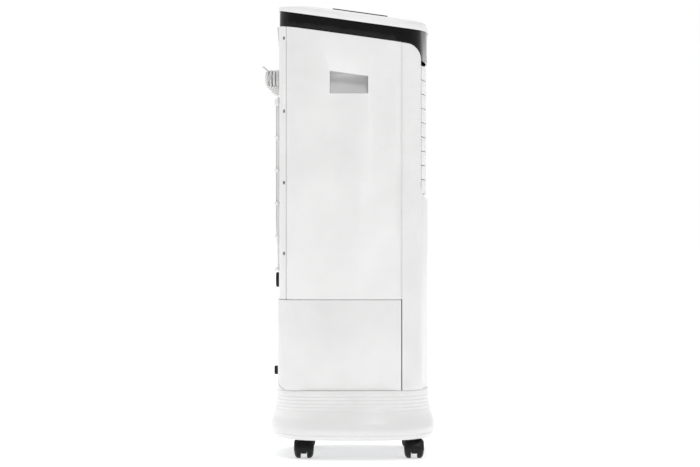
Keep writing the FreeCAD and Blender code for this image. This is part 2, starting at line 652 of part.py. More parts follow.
def build_blower():
    """Floor and ceiling plates joined by the scroll wall and the short tongue wall."""
    body = new_body("blower_housing")
    plate = [rectangle("-blower_half", "blower_half", "blower_front", "blower_rear")]
    extrude(body, "Pad", "XY", "deck_low", "deck_high", plate)
    scroll = [("-blower_half", "blower_front"), ("-98.4", "blower_front"), ("-58", "-22"),
              ("-50", "14"), ("-28", "40"), ("-30", "42"), ("-52.4", "15.4"), ("-60.4", "-21")]
    tongue = [("98.4", "blower_front"), ("blower_half", "blower_front"), ("blower_half", "-78"),
              ("54", "-54"), ("52", "-56")]
    extrude(body, "Pad", "XY", "deck_low + 1", "cap_high - 1", [scroll, tongue])
    extrude(body, "Pad", "XY", "cap_low", "cap_high", plate)
    extrude(body, "Pocket", "XY", "deck_low - 10", "deck_high + 5", [circle("0", "roller_y", "6")])
    extrude(body, "Pocket", "XY", "cap_low - 2", "cap_high + 5", [circle("0", "roller_y", "9")])
    keep("blower_housing", body)


def build_fan_drive():
    """The motor under the roller and the bearing above it."""
    bore = circle("0", "roller_y", "shaft_radius + pin_play")
    motor = new_body("fan_motor")
    extrude(motor, "Pad", "XY", "deck_low - 3 - motor_long", "deck_low - 3",
            [circle("0", "roller_y", "motor_radius")])
    extrude(motor, "Pad", "XY", "deck_low - 4", "deck_low", [circle("0", "roller_y", "46")])
    extrude(motor, "Pocket", "XY", "roller_low - 32", "deck_low + 5", [bore])
    keep("fan_motor", motor)
    bearing = new_body("fan_bearing")
    extrude(bearing, "Pad", "XY", "cap_low - 1", "cap_high", [circle("0", "roller_y", "9"), bore])
    extrude(bearing, "Pad", "XY", "cap_high", "cap_high + 3",
            [circle("0", "roller_y", "14"), bore])
    keep("fan_bearing", bearing)


# ---------------------------------------------------------------- water path

def build_pad():
    """The honeycomb pad, its open frame, the drip tray that wets it and the dust filter."""
    keep("cooling_pad", box("cooling_pad", ("-pad_half", "pad_half"), ("pad_front", "pad_rear"),
                            ("pad_low", "pad_high")))
    rim_half = "(pad_half + pad_rim)"
    frame = new_body("pad_frame")
    extrude(frame, "Pad", "XZ", "pad_front - 2", "pad_rear + 2",
            [rectangle(f"-{rim_half}", rim_half, "floor_high", "pad_high + 4"),
             rectangle("-pad_half - 0.3", "pad_half + 0.3", "pad_low - 0.1", "pad_high + 0.3")])
    keep("pad_frame", frame)
    tray = new_body("drip_tray")
    extrude(tray, "Pad", "XY", "tray_low", "tray_high",
            [rectangle(f"-{rim_half}", rim_half, "pad_front - 2", "pad_rear + 2")])
    extrude(tray, "Pocket", "XY", "tray_low + tray_floor", "tray_high + 4",
            [rectangle("-pad_half", "pad_half", "pad_front + 1", "pad_rear - 1")])
    drips = [circle(f"{18 * number}", "(pad_front + pad_rear) / 2", "2") for number in range(-5, 6)]
    extrude(tray, "Pocket", "XY", "tray_low - 4", "tray_low + 6", drips)
    keep("drip_tray", tray)
    keep("dust_filter", box("dust_filter", ("-intake_half + filter_gap", "intake_half - filter_gap"),
                            ("filter_front", "filter_rear"),
                            ("intake_low + filter_gap", "intake_high - filter_gap")))


def tank_profile(name, inset, grow):
    """The tank's side outline, which is rounded at its lower rear corner, across the width."""
    round_out = f"(tank_round - {inset})"
    rear = f"(tank_rear - {inset})"
    low = f"(tank_low + {inset} * tank_floor / tank_wall)"
    loop = [(f"tank_front + {inset}", low),
            (f"{rear} - {round_out}", low, f"{round_out} * {1 - math.sqrt(0.5):.5f}"),
            (rear, f"{low} + {round_out}"), (rear, f"tank_top + {grow}"),
            (f"tank_front + {inset}", f"tank_top + {grow}")]
    return prism(name, "YZ", "-beyond", "beyond", loop)


def build_tank(shared):
    """The pull-out tank with its drain seat and cap, the sill round its rear foot and the pump."""
    block = common("tank_block", shared["tank_outer"], tank_profile("tank_side", "0", "10"))
    hollow = common("tank_hollow", shared["tank_inner"],
                    tank_profile("tank_side_inner", "tank_wall", "20"))
    seat = cylinder("drain_seat", "Y", "drain_radius + pin_play", "30",
                    ("0", "tank_rear - 20", "drain_z"))
    keep("water_tank", cut("water_tank", cut("tank_shell", block, hollow), seat))
    foot = box("sill_box", ("-beyond", "beyond"), ("tank_rear - tank_round + 4", "beyond"),
               ("tank_low", "tank_low + tank_round - 1"))
    room = tank_profile("sill_room", "-gap", "10")
    keep("tank_sill", cut("tank_sill", common("sill_block", shared["tank_outer"], foot), room))
    cap = cylinder("drain_cap", "Y", "drain_cap", "9.4", ("0", "tank_rear + gap", "drain_z"))
    stem = cylinder("drain_stem", "Y", "drain_radius", "9", ("0", "tank_rear - 8", "drain_z"))
    keep("drain_plug", fuse("drain_plug", cap, stem))
    pump = new_body("water_pump")
    extrude(pump, "Pad", "XY", "tank_low + gap + tank_floor", "pump_high",
            [circle("pump_x", "pump_y", "pump_radius")])
    extrude(pump, "Pad", "XY", "pump_high - 1", "tank_top - 1",
            [circle("pump_x", "pump_y", "hose_radius")])
    keep("water_pump", pump)


def tube_path(points):
    """Straight runs joined by tangent arcs, each as large as its two runs allow."""
    spots = [FreeCAD.Vector(*point) for point in points]
    edges = []
    here = spots[0]
    for before, corner, after in zip(spots, spots[1:], spots[2:]):
        back = (before - corner).normalize()
        onward = (after - corner).normalize()
        half_turn = (math.pi - back.getAngle(onward)) / 2
        reach = 0.45 * min((before - corner).Length, (after - corner).Length)
        print("bend radius", round(reach / math.tan(half_turn), 1))
        start = corner + back * reach
        end = corner + onward * reach
        to_middle = (back + onward).normalize()
        radius = reach / math.tan(half_turn)
        centre = corner + to_middle * (radius / math.cos(half_turn))
        middle = centre - to_middle * radius
        edges.append(Part.LineSegment(here, start).toShape())
        edges.append(Part.Arc(start, middle, end).toShape())
        here = end
    edges.append(Part.LineSegment(here, spots[-1]).toShape())
    return Part.Wire(edges)


def tube(points, radius, bore=0.0):
    path = tube_path(points)
    direction = FreeCAD.Vector(*points[1]) - FreeCAD.Vector(*points[0])
    rings = []
    for size in (radius, bore):
        if size > 0:
            ring = Part.Circle(FreeCAD.Vector(*points[0]), direction, size).toShape()
            rings.append(path.makePipeShell([Part.Wire([ring])], True, False))
    solid = rings[0] if len(rings) == 1 else rings[0].cut(rings[1])
    print("tube volume", round(solid.Volume), "section times length",
          round(math.pi * (radius ** 2 - bore ** 2) * path.Length))
    return solid


def build_hose():
    """The hose from the tank coupling up beside the pad and over into the drip tray."""
    x, y = value("pump_x"), value("pump_y")
    top = value("pad_high") + 42
    route = [(x, y, value("tank_top") + 1.5), (x, y + 6, 400), (x, y + 1, 520), (x, y + 8, 620),
             (x + 1, y + 8, top), (x + 24, y + 8, top + 2), (x + 32, y + 8, top - 14)]
    hose = tube(route, value("hose_radius"), value("hose_bore"))
    keep("pump_hose", feature("pump_hose", hose))


# ---------------------------------------------------------------- rear fittings and cord

def build_grille():
    """The lift-off intake grille: deep ribs across a recessed basket of upright slats."""
    body = new_body("intake_grille")
    basket = ("grille_front", "rear_y + 1.2")
    frame = ("rear_y + gap", "rear_y + 3")
    low, high = "intake_low + 1", "intake_high - 1"
    slats = [rectangle(f"{number} * slat_pitch - slat_half", f"{number} * slat_pitch + slat_half",
                       low, high) for number in range(-12, 13)]
    extrude(body, "Pad", "XZ", *basket, slats)
    levels = [f"grille_low + {number} * grille_pitch" for number in range(6)]
    ribs = [grille_rib(level, "rib_top" if level is levels[-1] else "rib_tall")
            for level in levels]
    extrude(body, "Pad", "XZ", "rear_y + gap", "grille_rear", ribs)
    across = ("-12 * slat_pitch - 1", "12 * slat_pitch + 1")
    bars = [rectangle(*across, level, f"{level} + rib_tall") for level in levels[1:5]]
    bars.append(rectangle(*across, low, f"{low} + 4"))
    bars.append(rectangle(*across, f"{high} - 4", high))
    extrude(body, "Pad", "XZ", *basket, bars)
    side = "(grille_half - 6)"
    outer = "(grille_half - 2)"
    bottom, top = "grille_low + 1", "grille_high"
    extrude(body, "Pad", "XZ", *frame, [rectangle(f"-{outer}", f"-{side}", bottom, top),
                                        rectangle(side, outer, bottom, top)])
    extrude(body, "Pad", "XZ", *frame, [rectangle(f"-{outer}", outer, bottom, "intake_low + 4"),
                                        rectangle(f"-{outer}", outer, "intake_high - 4", top)])
    keep("intake_grille", body)


def grille_rib(level, tall):
    """One rib's outline from behind: a long bar with its four corners taken off."""
    inner = "(grille_half - rib_corner)"
    return [(f"-{inner}", level), (inner, level), ("grille_half", f"{level} + 1"),
            ("grille_half", f"{level} + {tall} - 1"), (inner, f"{level} + {tall}"),
            (f"-{inner}", f"{level} + {tall}"), ("-grille_half", f"{level} + {tall} - 1"),
            ("-grille_half", f"{level} + 1")]


def build_latch():
    """The round tank catch: a knob whose tab turns down over the tank's rear edge."""
    body = new_body("tank_latch")
    face = "tank_rear + 0.5"
    extrude(body, "Pad", "XZ", face, "latch_rear", [circle("0", "latch_z", "latch_radius")])
    extrude(body, "Pad", "XZ", face, f"{face} + 3",
            [rectangle("0", "latch_reach", "latch_z - latch_half", "latch_z + latch_half")])
    extrude(body, "Pad", "XZ", "rear_y - 6", f"{face} + 1", [circle("0", "latch_z", "shaft_radius")])
    keep("tank_latch", body)


def build_control_board():
    """The circuit board on four pillars above the blower, with a transformer and two chips."""
    body = new_body("control_board")
    face = "(board_low + 1)"
    extrude(body, "Pad", "XY", "board_low", "board_low + 1.6",
            [rectangle("-board_half", "board_half", "-60", "10")])
    pillars = [circle(x, y, "3") for x in ("-72", "72") for y in ("-52", "2")]
    extrude(body, "Pad", "XY", "cap_high", "board_low + 0.5", pillars)
    extrude(body, "Pad", "XY", face, f"{face} + 15", [rectangle("-66", "-34", "-40", "-14")])
    extrude(body, "Pad", "XY", face, f"{face} + 8", [rectangle("20", "44", "-36", "-18"),
                                                     rectangle("-20", "-6", "-48", "-34")])
    keep("control_board", body)


# Routes of the cord outside its hank: strain relief to hank, and hank to plug.
LEAD_ROUTE = ((82, 138, 693), (74, 137.8, 692.9), (66, 137.3, 693.1), (58, 136.7, 693.6),
              (50, 136.3, 693.8))
TAIL_ROUTE = ((50, 141.5, 672), (57, 141.3, 671.3), (64, 141, 671))


def build_cord():
    """The mains cord: strain relief, short lead, tied hank, tail and two-pin plug."""
    radius = value("cord_radius")
    keep("strain_relief", cone("strain_relief", "X", "relief_tip", "relief_root", "relief_long",
                               ("boss_x - relief_long", "relief_y", "relief_z")))
    keep("cord_lead", feature("cord_lead", tube(LEAD_ROUTE, radius)))
    keep("cord_tail", feature("cord_tail", tube(TAIL_ROUTE, radius)))
    build_hank()
    plug = new_body("mains_plug")
    extrude(plug, "Pad", "YZ", "plug_x", "plug_x + 8", [circle("plug_y", "plug_z", "5")])
    extrude(plug, "Pad", "YZ", "plug_x + 7", "plug_x + 30",
            [rectangle("plug_y - 6.8", "plug_y + 6.8", "plug_z - 14.5", "plug_z + 14")])
    pins = [circle("plug_y", f"plug_z {sign} pin_apart / 2", "plug_pin") for sign in "+-"]
    extrude(plug, "Pad", "YZ", "plug_x + 29", "plug_x + 49", pins)
    keep("mains_plug", plug)


def build_hank():
    """The folded cord's outer shape, drawn in at its tie and spread at both ends, and the tie."""
    corners = []
    for side, end, tie in (("-", "hank_left", "tie_x - 6"), ("+", "hank_right", "tie_x + 6")):
        inward = "+" if side == "-" else "-"
        corners.append([(tie, "tie_half"), (f"{end} {inward} 27", "hank_half"),
                        (f"{end} {inward} 14", "hank_half"), (end, "5")])
    left, right = corners
    ring = [(x, f"hank_z - {z}") for x, z in reversed(left)]
    ring += [(x, f"hank_z - {z}") for x, z in right]
    ring += [(x, f"hank_z + {z}") for x, z in reversed(right)]
    ring += [(x, f"hank_z + {z}") for x, z in left]
    for start in (0, 6, 8, 14):
        ring[start] += ("4",)
    hank = new_body("cord_hank")
    extrude(hank, "Pad", "XZ", "hank_front", "hank_rear", [ring])
    keep("cord_hank", hank)
    tie = new_body("cord_tie")
    span = ("tie_x - tie_wide / 2", "tie_x + tie_wide / 2")
    loops = [rectangle(f"hank_front - {out}", f"hank_rear + {out}", f"hank_z - tie_half - {out}",
                       f"hank_z + tie_half + {out}") for out in ("(gap + tie_thick)", "gap")]
    extrude(tie, "Pad", "YZ", *span, loops)
    top = "hank_z + tie_half"
    tail = [("hank_rear - 5", f"{top} + 1"), ("hank_rear - 3", f"{top} + 1"),
            ("hank_rear + 10.3", f"{top} + 12"), ("hank_rear + 9.3", f"{top} + 13.4")]
    extrude(tie, "Pad", "YZ", *span, [tail])
    keep("cord_tie", tie)


# ---------------------------------------------------------------- casters

def caster_spots():
    x = value("caster_x")
    return [(sign * x, value(place)) for place in ("caster_front", "caster_rear") for sign in (-1, 1)]


CASTERS = (("front_left", "-", "caster_front"), ("front_right", "", "caster_front"),
           ("rear_left", "-", "caster_rear"), ("rear_right", "", "caster_rear"))


def build_caster(name, sign, y):
    """A twin-wheel caster: the hood swivels on the stem and the wheels turn on one axle."""
    stem_x = f"{sign}caster_x"
    wheel_x = f"({stem_x} {sign or '+'} trail)"
    hood = new_body("caster_hood_" + name)
    inner = "(wheel_radius + 0.6)"
    arch = [(f"{wheel_x} - hood_radius", "wheel_radius", "-hood_radius * 0.99"),
            (f"{wheel_x} + hood_radius", "wheel_radius"),
            (f"{wheel_x} + {inner}", "wheel_radius", f"{inner} * 0.99"),
            (f"{wheel_x} - {inner}", "wheel_radius")]
    extrude(hood, "Pad", "XZ", f"{y} - hood_half", f"{y} + hood_half", [arch])
    extrude(hood, "Pad", "XZ", f"{y} - web_half", f"{y} + web_half",
            [circle(wheel_x, "wheel_radius + 0.5", "hood_radius - 1.2")])
    extrude(hood, "Pad", "XY", "wheel_radius", "wheel_radius + hood_radius - 0.3",
            [circle(stem_x, y, "web_half")])
    extrude(hood, "Pocket", "XY", "stem_low - 0.5", "stem_low + stem_long",
            [circle(stem_x, y, "stem_radius + pin_play")])
    extrude(hood, "Pocket", "XZ", f"{y} - 30", f"{y} + 30",
            [circle(wheel_x, "wheel_radius", "axle_radius + pin_play")])
    extrude(hood, "Pocket", "XY", "-5", "notch_top",
            [rectangle(f"{wheel_x} - 30", f"{wheel_x} + 30", f"{y} - 30", f"{y} + 30")])
    keep("caster_hood_" + name, hood)
    wheels = new_body("caster_wheels_" + name)
    inside = "(web_half + 0.5)"
    for low, high, radius in (("- hood_half", f"- {inside}", "wheel_radius"),
                              (f"+ {inside}", "+ hood_half", "wheel_radius"),
                              (f"- {inside} - 1", f"+ {inside} + 1", "axle_radius")):
        extrude(wheels, "Pad", "XZ", f"{y} {low}", f"{y} {high}",
                [circle(wheel_x, "wheel_radius", radius)])
    keep("caster_wheels_" + name, wheels)


def build_stems():
    """The four upright pins on which the caster hoods swivel."""
    stems = []
    for x, y in caster_spots():
        stems.append(cylinder("stem", "Z", "stem_radius", "stem_long", (str(x), str(y), "stem_low")))
    keep("caster_stems", fuse("caster_stems", *stems))


# ---------------------------------------------------------------- everything

def build_all():
    shared = build_shared()
    build_front_shell(shared)
    build_side_panel(shared, "side_panel_left", -1)
    build_side_panel(shared, "side_panel_right", 1)
    build_rear_panel(shared)
    keep("casing_screws", screw_tools("screw", "1.6", "3.2", "0.9"))
    build_band_and_lid(shared)
    build_base()
    build_chassis()
    build_outlet_frame()
    for number in range(9):
        build_louvre(number)
    build_louvre_bar()
    for number in range(5):
        build_vane(number)
    build_vane_bar()
    build_swing_motor()
    build_roller()
    build_blower()
    build_fan_drive()
    build_pad()
    build_tank(shared)
    build_hose()
    build_latch()
    build_control_board()
    build_cord()
    for name, sign, y in CASTERS:
        build_caster(name, sign, y)
    build_stems()
    build_grille()


build_all()
doc.recompute()

failed = [item.Name for item in doc.Objects if {"Invalid", "Error"} & set(item.State)]
failed += [item.Label for item in nodes if item.Shape.isNull() or not item.Shape.isValid()]
if failed:
    raise RuntimeError("not built: " + ", ".join(failed))

os.makedirs("parts", exist_ok=True)
for item in nodes:
    item.Shape.exportStep(f"parts/{item.Label}.step")
    print(item.Label, "solids", len(item.Shape.Solids), "volume", round(item.Shape.Volume))
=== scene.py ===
import json
import math

import bmesh
import bpy
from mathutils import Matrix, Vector


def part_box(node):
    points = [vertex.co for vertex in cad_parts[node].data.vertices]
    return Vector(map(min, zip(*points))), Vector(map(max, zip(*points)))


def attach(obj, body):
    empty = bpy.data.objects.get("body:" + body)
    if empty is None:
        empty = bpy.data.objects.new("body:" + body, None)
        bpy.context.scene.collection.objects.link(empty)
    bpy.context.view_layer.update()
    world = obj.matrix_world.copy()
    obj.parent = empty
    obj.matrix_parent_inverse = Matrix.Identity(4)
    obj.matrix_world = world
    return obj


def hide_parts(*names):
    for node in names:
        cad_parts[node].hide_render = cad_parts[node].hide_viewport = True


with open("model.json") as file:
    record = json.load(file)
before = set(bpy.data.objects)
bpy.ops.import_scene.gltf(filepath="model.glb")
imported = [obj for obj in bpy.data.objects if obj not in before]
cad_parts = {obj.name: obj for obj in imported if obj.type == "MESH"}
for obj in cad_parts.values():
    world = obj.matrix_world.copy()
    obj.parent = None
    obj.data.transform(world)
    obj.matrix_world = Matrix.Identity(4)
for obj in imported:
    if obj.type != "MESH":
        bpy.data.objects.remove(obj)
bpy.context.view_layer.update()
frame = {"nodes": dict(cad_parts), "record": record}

MM = 0.001
nodes = frame["nodes"]


# ---- mesh helpers

def place(point):
    """A point given in millimetres, in metres."""
    return Vector(point) * MM


def box_mm(node):
    """A CAD node's lowest and highest corners, in millimetres."""
    low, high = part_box(node)
    return low / MM, high / MM


def polar(radius, angle):
    """A place on a circle round the origin; the angle is in radians."""
    return radius * math.cos(angle), radius * math.sin(angle)


def squarish(angle, power, half_u, half_v):
    """A place on an oval that is squarer the lower its power is below 1."""
    u, v = polar(1.0, angle)
    return (math.copysign(abs(u) ** power, u) * half_u,
            math.copysign(abs(v) ** power, v) * half_v)


def add_object(name, data, body, slot):
    """Adds a piece that rides a body and takes its finish from a slot."""
    item = bpy.data.objects.new(name, data)
    bpy.context.scene.collection.objects.link(item)
    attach(item, body)
    item.data.materials.append(looks[slot])
    return item


def finish_mesh(mesh, name, body, slot, sharp=40):
    """Turns a bmesh into a piece with outward faces, smooth but for its sharp edges."""
    bmesh.ops.remove_doubles(mesh, verts=mesh.verts, dist=0.002 * MM)
    bmesh.ops.recalc_face_normals(mesh, faces=mesh.faces)
    data = bpy.data.meshes.new(name)
    mesh.to_mesh(data)
    mesh.free()
    data.shade_smooth()
    data.set_sharp_from_angle(angle=math.radians(sharp))
    return add_object(name, data, body, slot)


def add_loft(mesh, rings, closed=True, caps=True):
    """Skins rings of equal length, given in millimetres; the caps close both ends."""
    rows = [[mesh.verts.new(place(point)) for point in ring] for ring in rings]
    count = len(rows[0])
    span = count if closed else count - 1
    for lower, upper in zip(rows, rows[1:]):
        for index in range(span):
            after = (index + 1) % count
            mesh.faces.new((lower[index], lower[after], upper[after], upper[index]))
    if caps:
        mesh.faces.new(rows[0][::-1])
        mesh.faces.new(rows[-1])


def add_block(mesh, x_range, y_range, z_range):
    """A closed block, for slim bars and threads."""
    rings = []
    for z in z_range:
        rings.append([(x_range[0], y_range[0], z), (x_range[1], y_range[0], z),
                      (x_range[1], y_range[1], z), (x_range[0], y_range[1], z)])
    add_loft(mesh, rings)


def add_lathe(mesh, profile, to_point, turns, start=0.0, sweep=360.0):
    """Spins profile points (radius, along); to_point places (radius, angle, along)."""
    whole = sweep >= 360
    count = turns if whole else turns + 1
    rings = []
    for step in range(count):
        angle = math.radians(start + sweep * step / turns)
        rings.append([to_point(radius, angle, along) for radius, along in profile])
    if whole:
        rings.append(rings[0])
    add_loft(mesh, rings, closed=False, caps=False)


def about_x(y, z):
    """Places lathe points round an axis along X through (y, z)."""
    def to_point(radius, angle, along):
        return (along, y + radius * math.cos(angle), z + radius * math.sin(angle))
    return to_point


def about_y(x, z):
    """Places lathe points round an axis along Y through (x, z)."""
    def to_point(radius, angle, along):
        return (x + radius * math.cos(angle), along, z + radius * math.sin(angle))
    return to_point


def about_z(x, y):
    """Places lathe points round an upright axis through (x, y)."""
    def to_point(radius, angle, along):
        return (x + radius * math.cos(angle), y + radius * math.sin(angle), along)
    return to_point


def smooth_step(share):
    """Eases a share in and out between 0 and 1, and holds it outside them."""
    share = min(1.0, max(0.0, share))
    return share * share * (3 - 2 * share)


# ---- materials

def add_texture(tree, kind, scale, stretch=(1, 1, 1), **inputs):
    """The height of a procedural texture on the piece, with its scale in waves per metre."""
    coordinates = tree.nodes.new("ShaderNodeTexCoord")
    mapping = tree.nodes.new("ShaderNodeMapping")
    mapping.inputs["Scale"].default_value = stretch
    node = tree.nodes.new("ShaderNodeTex" + kind)
    tree.links.new(coordinates.outputs["Object"], mapping.inputs["Vector"])
    tree.links.new(mapping.outputs["Vector"], node.inputs["Vector"])
    node.inputs["Scale"].default_value = scale
    for socket, value in inputs.items():
        node.inputs[socket.replace("_", " ")].default_value = value
    return node.outputs["Fac"] if "Fac" in node.outputs else node.outputs[0]


def tint(tree, shader, source, dark, light, low=0.3, high=0.7):
    """Base colour that wanders between two colours with the source."""
    ramp = tree.nodes.new("ShaderNodeValToRGB")
    ramp.color_ramp.elements[0].position = low
    ramp.color_ramp.elements[1].position = high
    ramp.color_ramp.elements[0].color = (*dark, 1)
    ramp.color_ramp.elements[1].color = (*light, 1)
    tree.links.new(source, ramp.inputs["Fac"])
    tree.links.new(ramp.outputs["Color"], shader.inputs["Base Color"])


def add_range(tree, source, low, high, start=0.0, end=1.0):
    """The source's stretch from start to end, mapped on to low to high."""
    span = tree.nodes.new("ShaderNodeMapRange")
    for socket, value in (("From Min", start), ("From Max", end), ("To Min", low),
                          ("To Max", high)):
        span.inputs[socket].default_value = value
    tree.links.new(source, span.inputs["Value"])
    return span.outputs["Result"]


def vary_roughness(tree, shader, source, low, high):
    """Roughness that wanders from low to high with the source."""
    tree.links.new(add_range(tree, source, low, high), shader.inputs["Roughness"])


def add_bumps(tree, shader, *layers):
    """Each layer is (source, depth in millimetres)."""
    normal = None
    for source, depth in layers:
        bump = tree.nodes.new("ShaderNodeBump")
        bump.inputs["Distance"].default_value = depth * MM
        bump.inputs["Strength"].default_value = 1.0
        tree.links.new(source, bump.inputs["Height"])
        if normal:
            tree.links.new(normal, bump.inputs["Normal"])
        normal = bump.outputs["Normal"]
    tree.links.new(normal, shader.inputs["Normal"])


def new_look(name="look"):
    """A fresh material, with its node tree and shader."""
    material = bpy.data.materials.new(name)
    material.use_nodes = True
    return material, material.node_tree, material.node_tree.nodes["Principled BSDF"]


def scaled(colour, factor):
    """A colour made darker or lighter, never past white."""
    return tuple(min(1.0, channel * factor) for channel in colour)


def moulded(colour, rough, coat=0.0, grain=0.02, wave=0.1, spread=0.03):
    """Injection-moulded plastic: faint mottling, a fine mould grain and slow sink waves."""
    material, tree, shader = new_look()
    mottle = add_texture(tree, "Noise", 14, Detail=4.0, Roughness=0.55)
    fine = add_texture(tree, "Noise", 1400, Detail=2.0)
    slow = add_texture(tree, "Noise", 11, Detail=1.0)
    tint(tree, shader, mottle, scaled(colour, 1 - spread), scaled(colour, 1 + spread))
    vary_roughness(tree, shader, mottle, rough - 0.04, rough + 0.06)
    add_bumps(tree, shader, (slow, wave), (fine, grain))
    shader.inputs["Coat Weight"].default_value = coat
    shader.inputs["Coat Roughness"].default_value = 0.12
    return material


def gloss_black(colour, rough):
    """Polished black plastic with a faint ripple and fine wiping marks."""
    material, tree, shader = new_look()
    ripple = add_texture(tree, "Noise", 38, Detail=1.0)
    wiped = add_texture(tree, "Noise", 160, stretch=(1, 1, 9), Detail=6.0)
    tint(tree, shader, wiped, scaled(colour, 0.7), scaled(colour, 1.5))
    vary_roughness(tree, shader, wiped, rough, rough + 0.08)
    add_bumps(tree, shader, (ripple, 0.05))
    shader.inputs["Specular IOR Level"].default_value = 0.17
    return material


def grained_black(colour, rough):
    """Tough black nylon with a leathery grain, rubbed a little paler on its high spots."""
    material, tree, shader = new_look()
    cells = add_texture(tree, "Voronoi", 1100)
    dust = add_texture(tree, "Noise", 70, Detail=6.0, Roughness=0.7)
    tint(tree, shader, dust, colour, scaled(colour, 2.2), 0.35, 0.8)
    vary_roughness(tree, shader, dust, rough, rough + 0.16)
    add_bumps(tree, shader, (cells, 0.06))
    shader.inputs["Specular IOR Level"].default_value = 0.25
    return material


def metal(colour, rough, stretch):
    """Plated or drawn metal, with scratches along its working direction."""
    material, tree, shader = new_look()
    streaks = add_texture(tree, "Noise", 600, stretch=stretch, Detail=8.0, Roughness=0.65)
    cloud = add_texture(tree, "Noise", 60, Detail=3.0)
    tint(tree, shader, cloud, scaled(colour, 0.82), scaled(colour, 1.1))
    vary_roughness(tree, shader, streaks, rough - 0.08, rough + 0.14)
    add_bumps(tree, shader, (streaks, 0.02))
    shader.inputs["Metallic"].default_value = 1.0
    return material


def woven_mesh(colour):
    """Fine nylon netting: two sets of threads at right angles, with lint caught in them."""
    material, tree, shader = new_look()
    across = add_texture(tree, "Wave", 260, Distortion=0.3, Detail=1.0)
    across.node.bands_direction = "X"
    upright = add_texture(tree, "Wave", 260, Distortion=0.3, Detail=1.0)
    upright.node.bands_direction = "Z"
    lint = add_texture(tree, "Noise", 90, Detail=7.0, Roughness=0.7)
    tint(tree, shader, lint, scaled(colour, 0.75), scaled(colour, 1.15))
    vary_roughness(tree, shader, lint, 0.62, 0.85)
    add_bumps(tree, shader, (across, 0.12), (upright, 0.12))
    shader.inputs["Sheen Weight"].default_value = 0.25
    return material


def paper_pad(colour):
    """Resin-stiffened kraft paper: fibres along the flutes and damp darker patches."""
    material, tree, shader = new_look()
    fibres = add_texture(tree, "Noise", 420, stretch=(1, 0.12, 1), Detail=8.0, Roughness=0.7)
    damp = add_texture(tree, "Noise", 22, Detail=5.0, Roughness=0.6)
    tint(tree, shader, damp, scaled(colour, 0.62), scaled(colour, 1.12), 0.38, 0.66)
    vary_roughness(tree, shader, fibres, 0.7, 0.95)
    add_bumps(tree, shader, (fibres, 0.12))
    return material


def soft_hose(colour):
    """Milky flexible tube with faint draw lines."""
    material, tree, shader = new_look()
    lines = add_texture(tree, "Noise", 500, stretch=(1, 1, 0.04), Detail=3.0)
    haze = add_texture(tree, "Noise", 30, Detail=3.0)
    tint(tree, shader, haze, scaled(colour, 0.9), scaled(colour, 1.08))
    vary_roughness(tree, shader, lines, 0.22, 0.4)
    add_bumps(tree, shader, (lines, 0.03))
    shader.inputs["Transmission Weight"].default_value = 0.35
    shader.inputs["IOR"].default_value = 1.42
    return material


def lacquered_board(colour):
    """Green solder mask over faint copper tracks."""
    material, tree, shader = new_look()
    tracks = add_texture(tree, "Brick", 60, Mortar_Size=0.08, Mortar_Smooth=0.2)
    fine = add_texture(tree, "Noise", 300, Detail=3.0)
    tint(tree, shader, tracks, colour, scaled(colour, 2.3), 0.2, 0.9)
    vary_roughness(tree, shader, fine, 0.25, 0.4)
    add_bumps(tree, shader, (tracks, 0.05))
    return material


def flexible_pvc(colour):
    """The cord's soft sheath: silky, with a very fine texture and handling marks."""
    material, tree, shader = new_look()
    marks = add_texture(tree, "Noise", 120, Detail=5.0, Roughness=0.6)
    fine = add_texture(tree, "Noise", 2600, Detail=1.0)
    tint(tree, shader, marks, scaled(colour, 0.93), scaled(colour, 1.03))
    vary_roughness(tree, shader, marks, 0.34, 0.5)
    add_bumps(tree, shader, (fine, 0.015))
    shader.inputs["Subsurface Weight"].default_value = 0.08
    shader.inputs["Subsurface Scale"].default_value = 0.002
    return material


WHITE = (0.8, 0.8, 0.797)
looks = {
    "shell_white": moulded(WHITE, 0.34, coat=0.3),
    "tank_white": moulded((0.815, 0.815, 0.812), 0.36, coat=0.25),
    # grille_white is a darker copy of the white plastic, painted shade for the grille slats and the
    # hand recess lining, which are white plastic in shadow; the touch marks use it as their printed
    # grey
    "grille_white": moulded((0.66, 0.662, 0.66), 0.45),
    "band_black": gloss_black((0.006, 0.006, 0.0065), 0.08),
    "panel_dark": gloss_black((0.02, 0.021, 0.024), 0.16),
    "inner_grey": moulded((0.36, 0.37, 0.38), 0.55, grain=0.05),
    "outlet_dark": moulded((0.05, 0.05, 0.053), 0.5, grain=0.05),
    "filter_grey": woven_mesh((0.42, 0.44, 0.45)),
    "pad_brown": paper_pad((0.42, 0.27, 0.13)),
    "pump_black": grained_black((0.022, 0.022, 0.024), 0.5),
    "hose_clear": soft_hose((0.72, 0.76, 0.76)),
    "motor_steel": metal((0.52, 0.53, 0.54), 0.38, (1, 1, 0.1)),
    "bearing_bronze": metal((0.55, 0.42, 0.26), 0.42, (1, 1, 0.3)),
    "screw_steel": metal((0.42, 0.42, 0.43), 0.35, (1, 0.3, 1)),
    "stem_steel": metal((0.6, 0.6, 0.61), 0.28, (1, 1, 0.1)),
    "cap_black": grained_black((0.009, 0.009, 0.0095), 0.42),
    "caster_black": grained_black((0.007, 0.007, 0.0075), 0.34),
    "board_green": lacquered_board((0.012, 0.09, 0.04)),
    "cord_white": flexible_pvc((0.74, 0.745, 0.735)),
    "tie_white": moulded((0.72, 0.72, 0.7), 0.5, grain=0.04),
    "plug_white": moulded((0.78, 0.785, 0.775), 0.4, grain=0.04),
}
for slot, look in looks.items():
    look.name = "look_" + slot


def dress_frame():
    """Gives each carried-over CAD node the look of its slot."""
    for part in frame["record"]["subparts"]:
        item = nodes[part["node"]]
        item.data.materials.clear()
        item.data.materials.append(looks[part["material_slot"]])


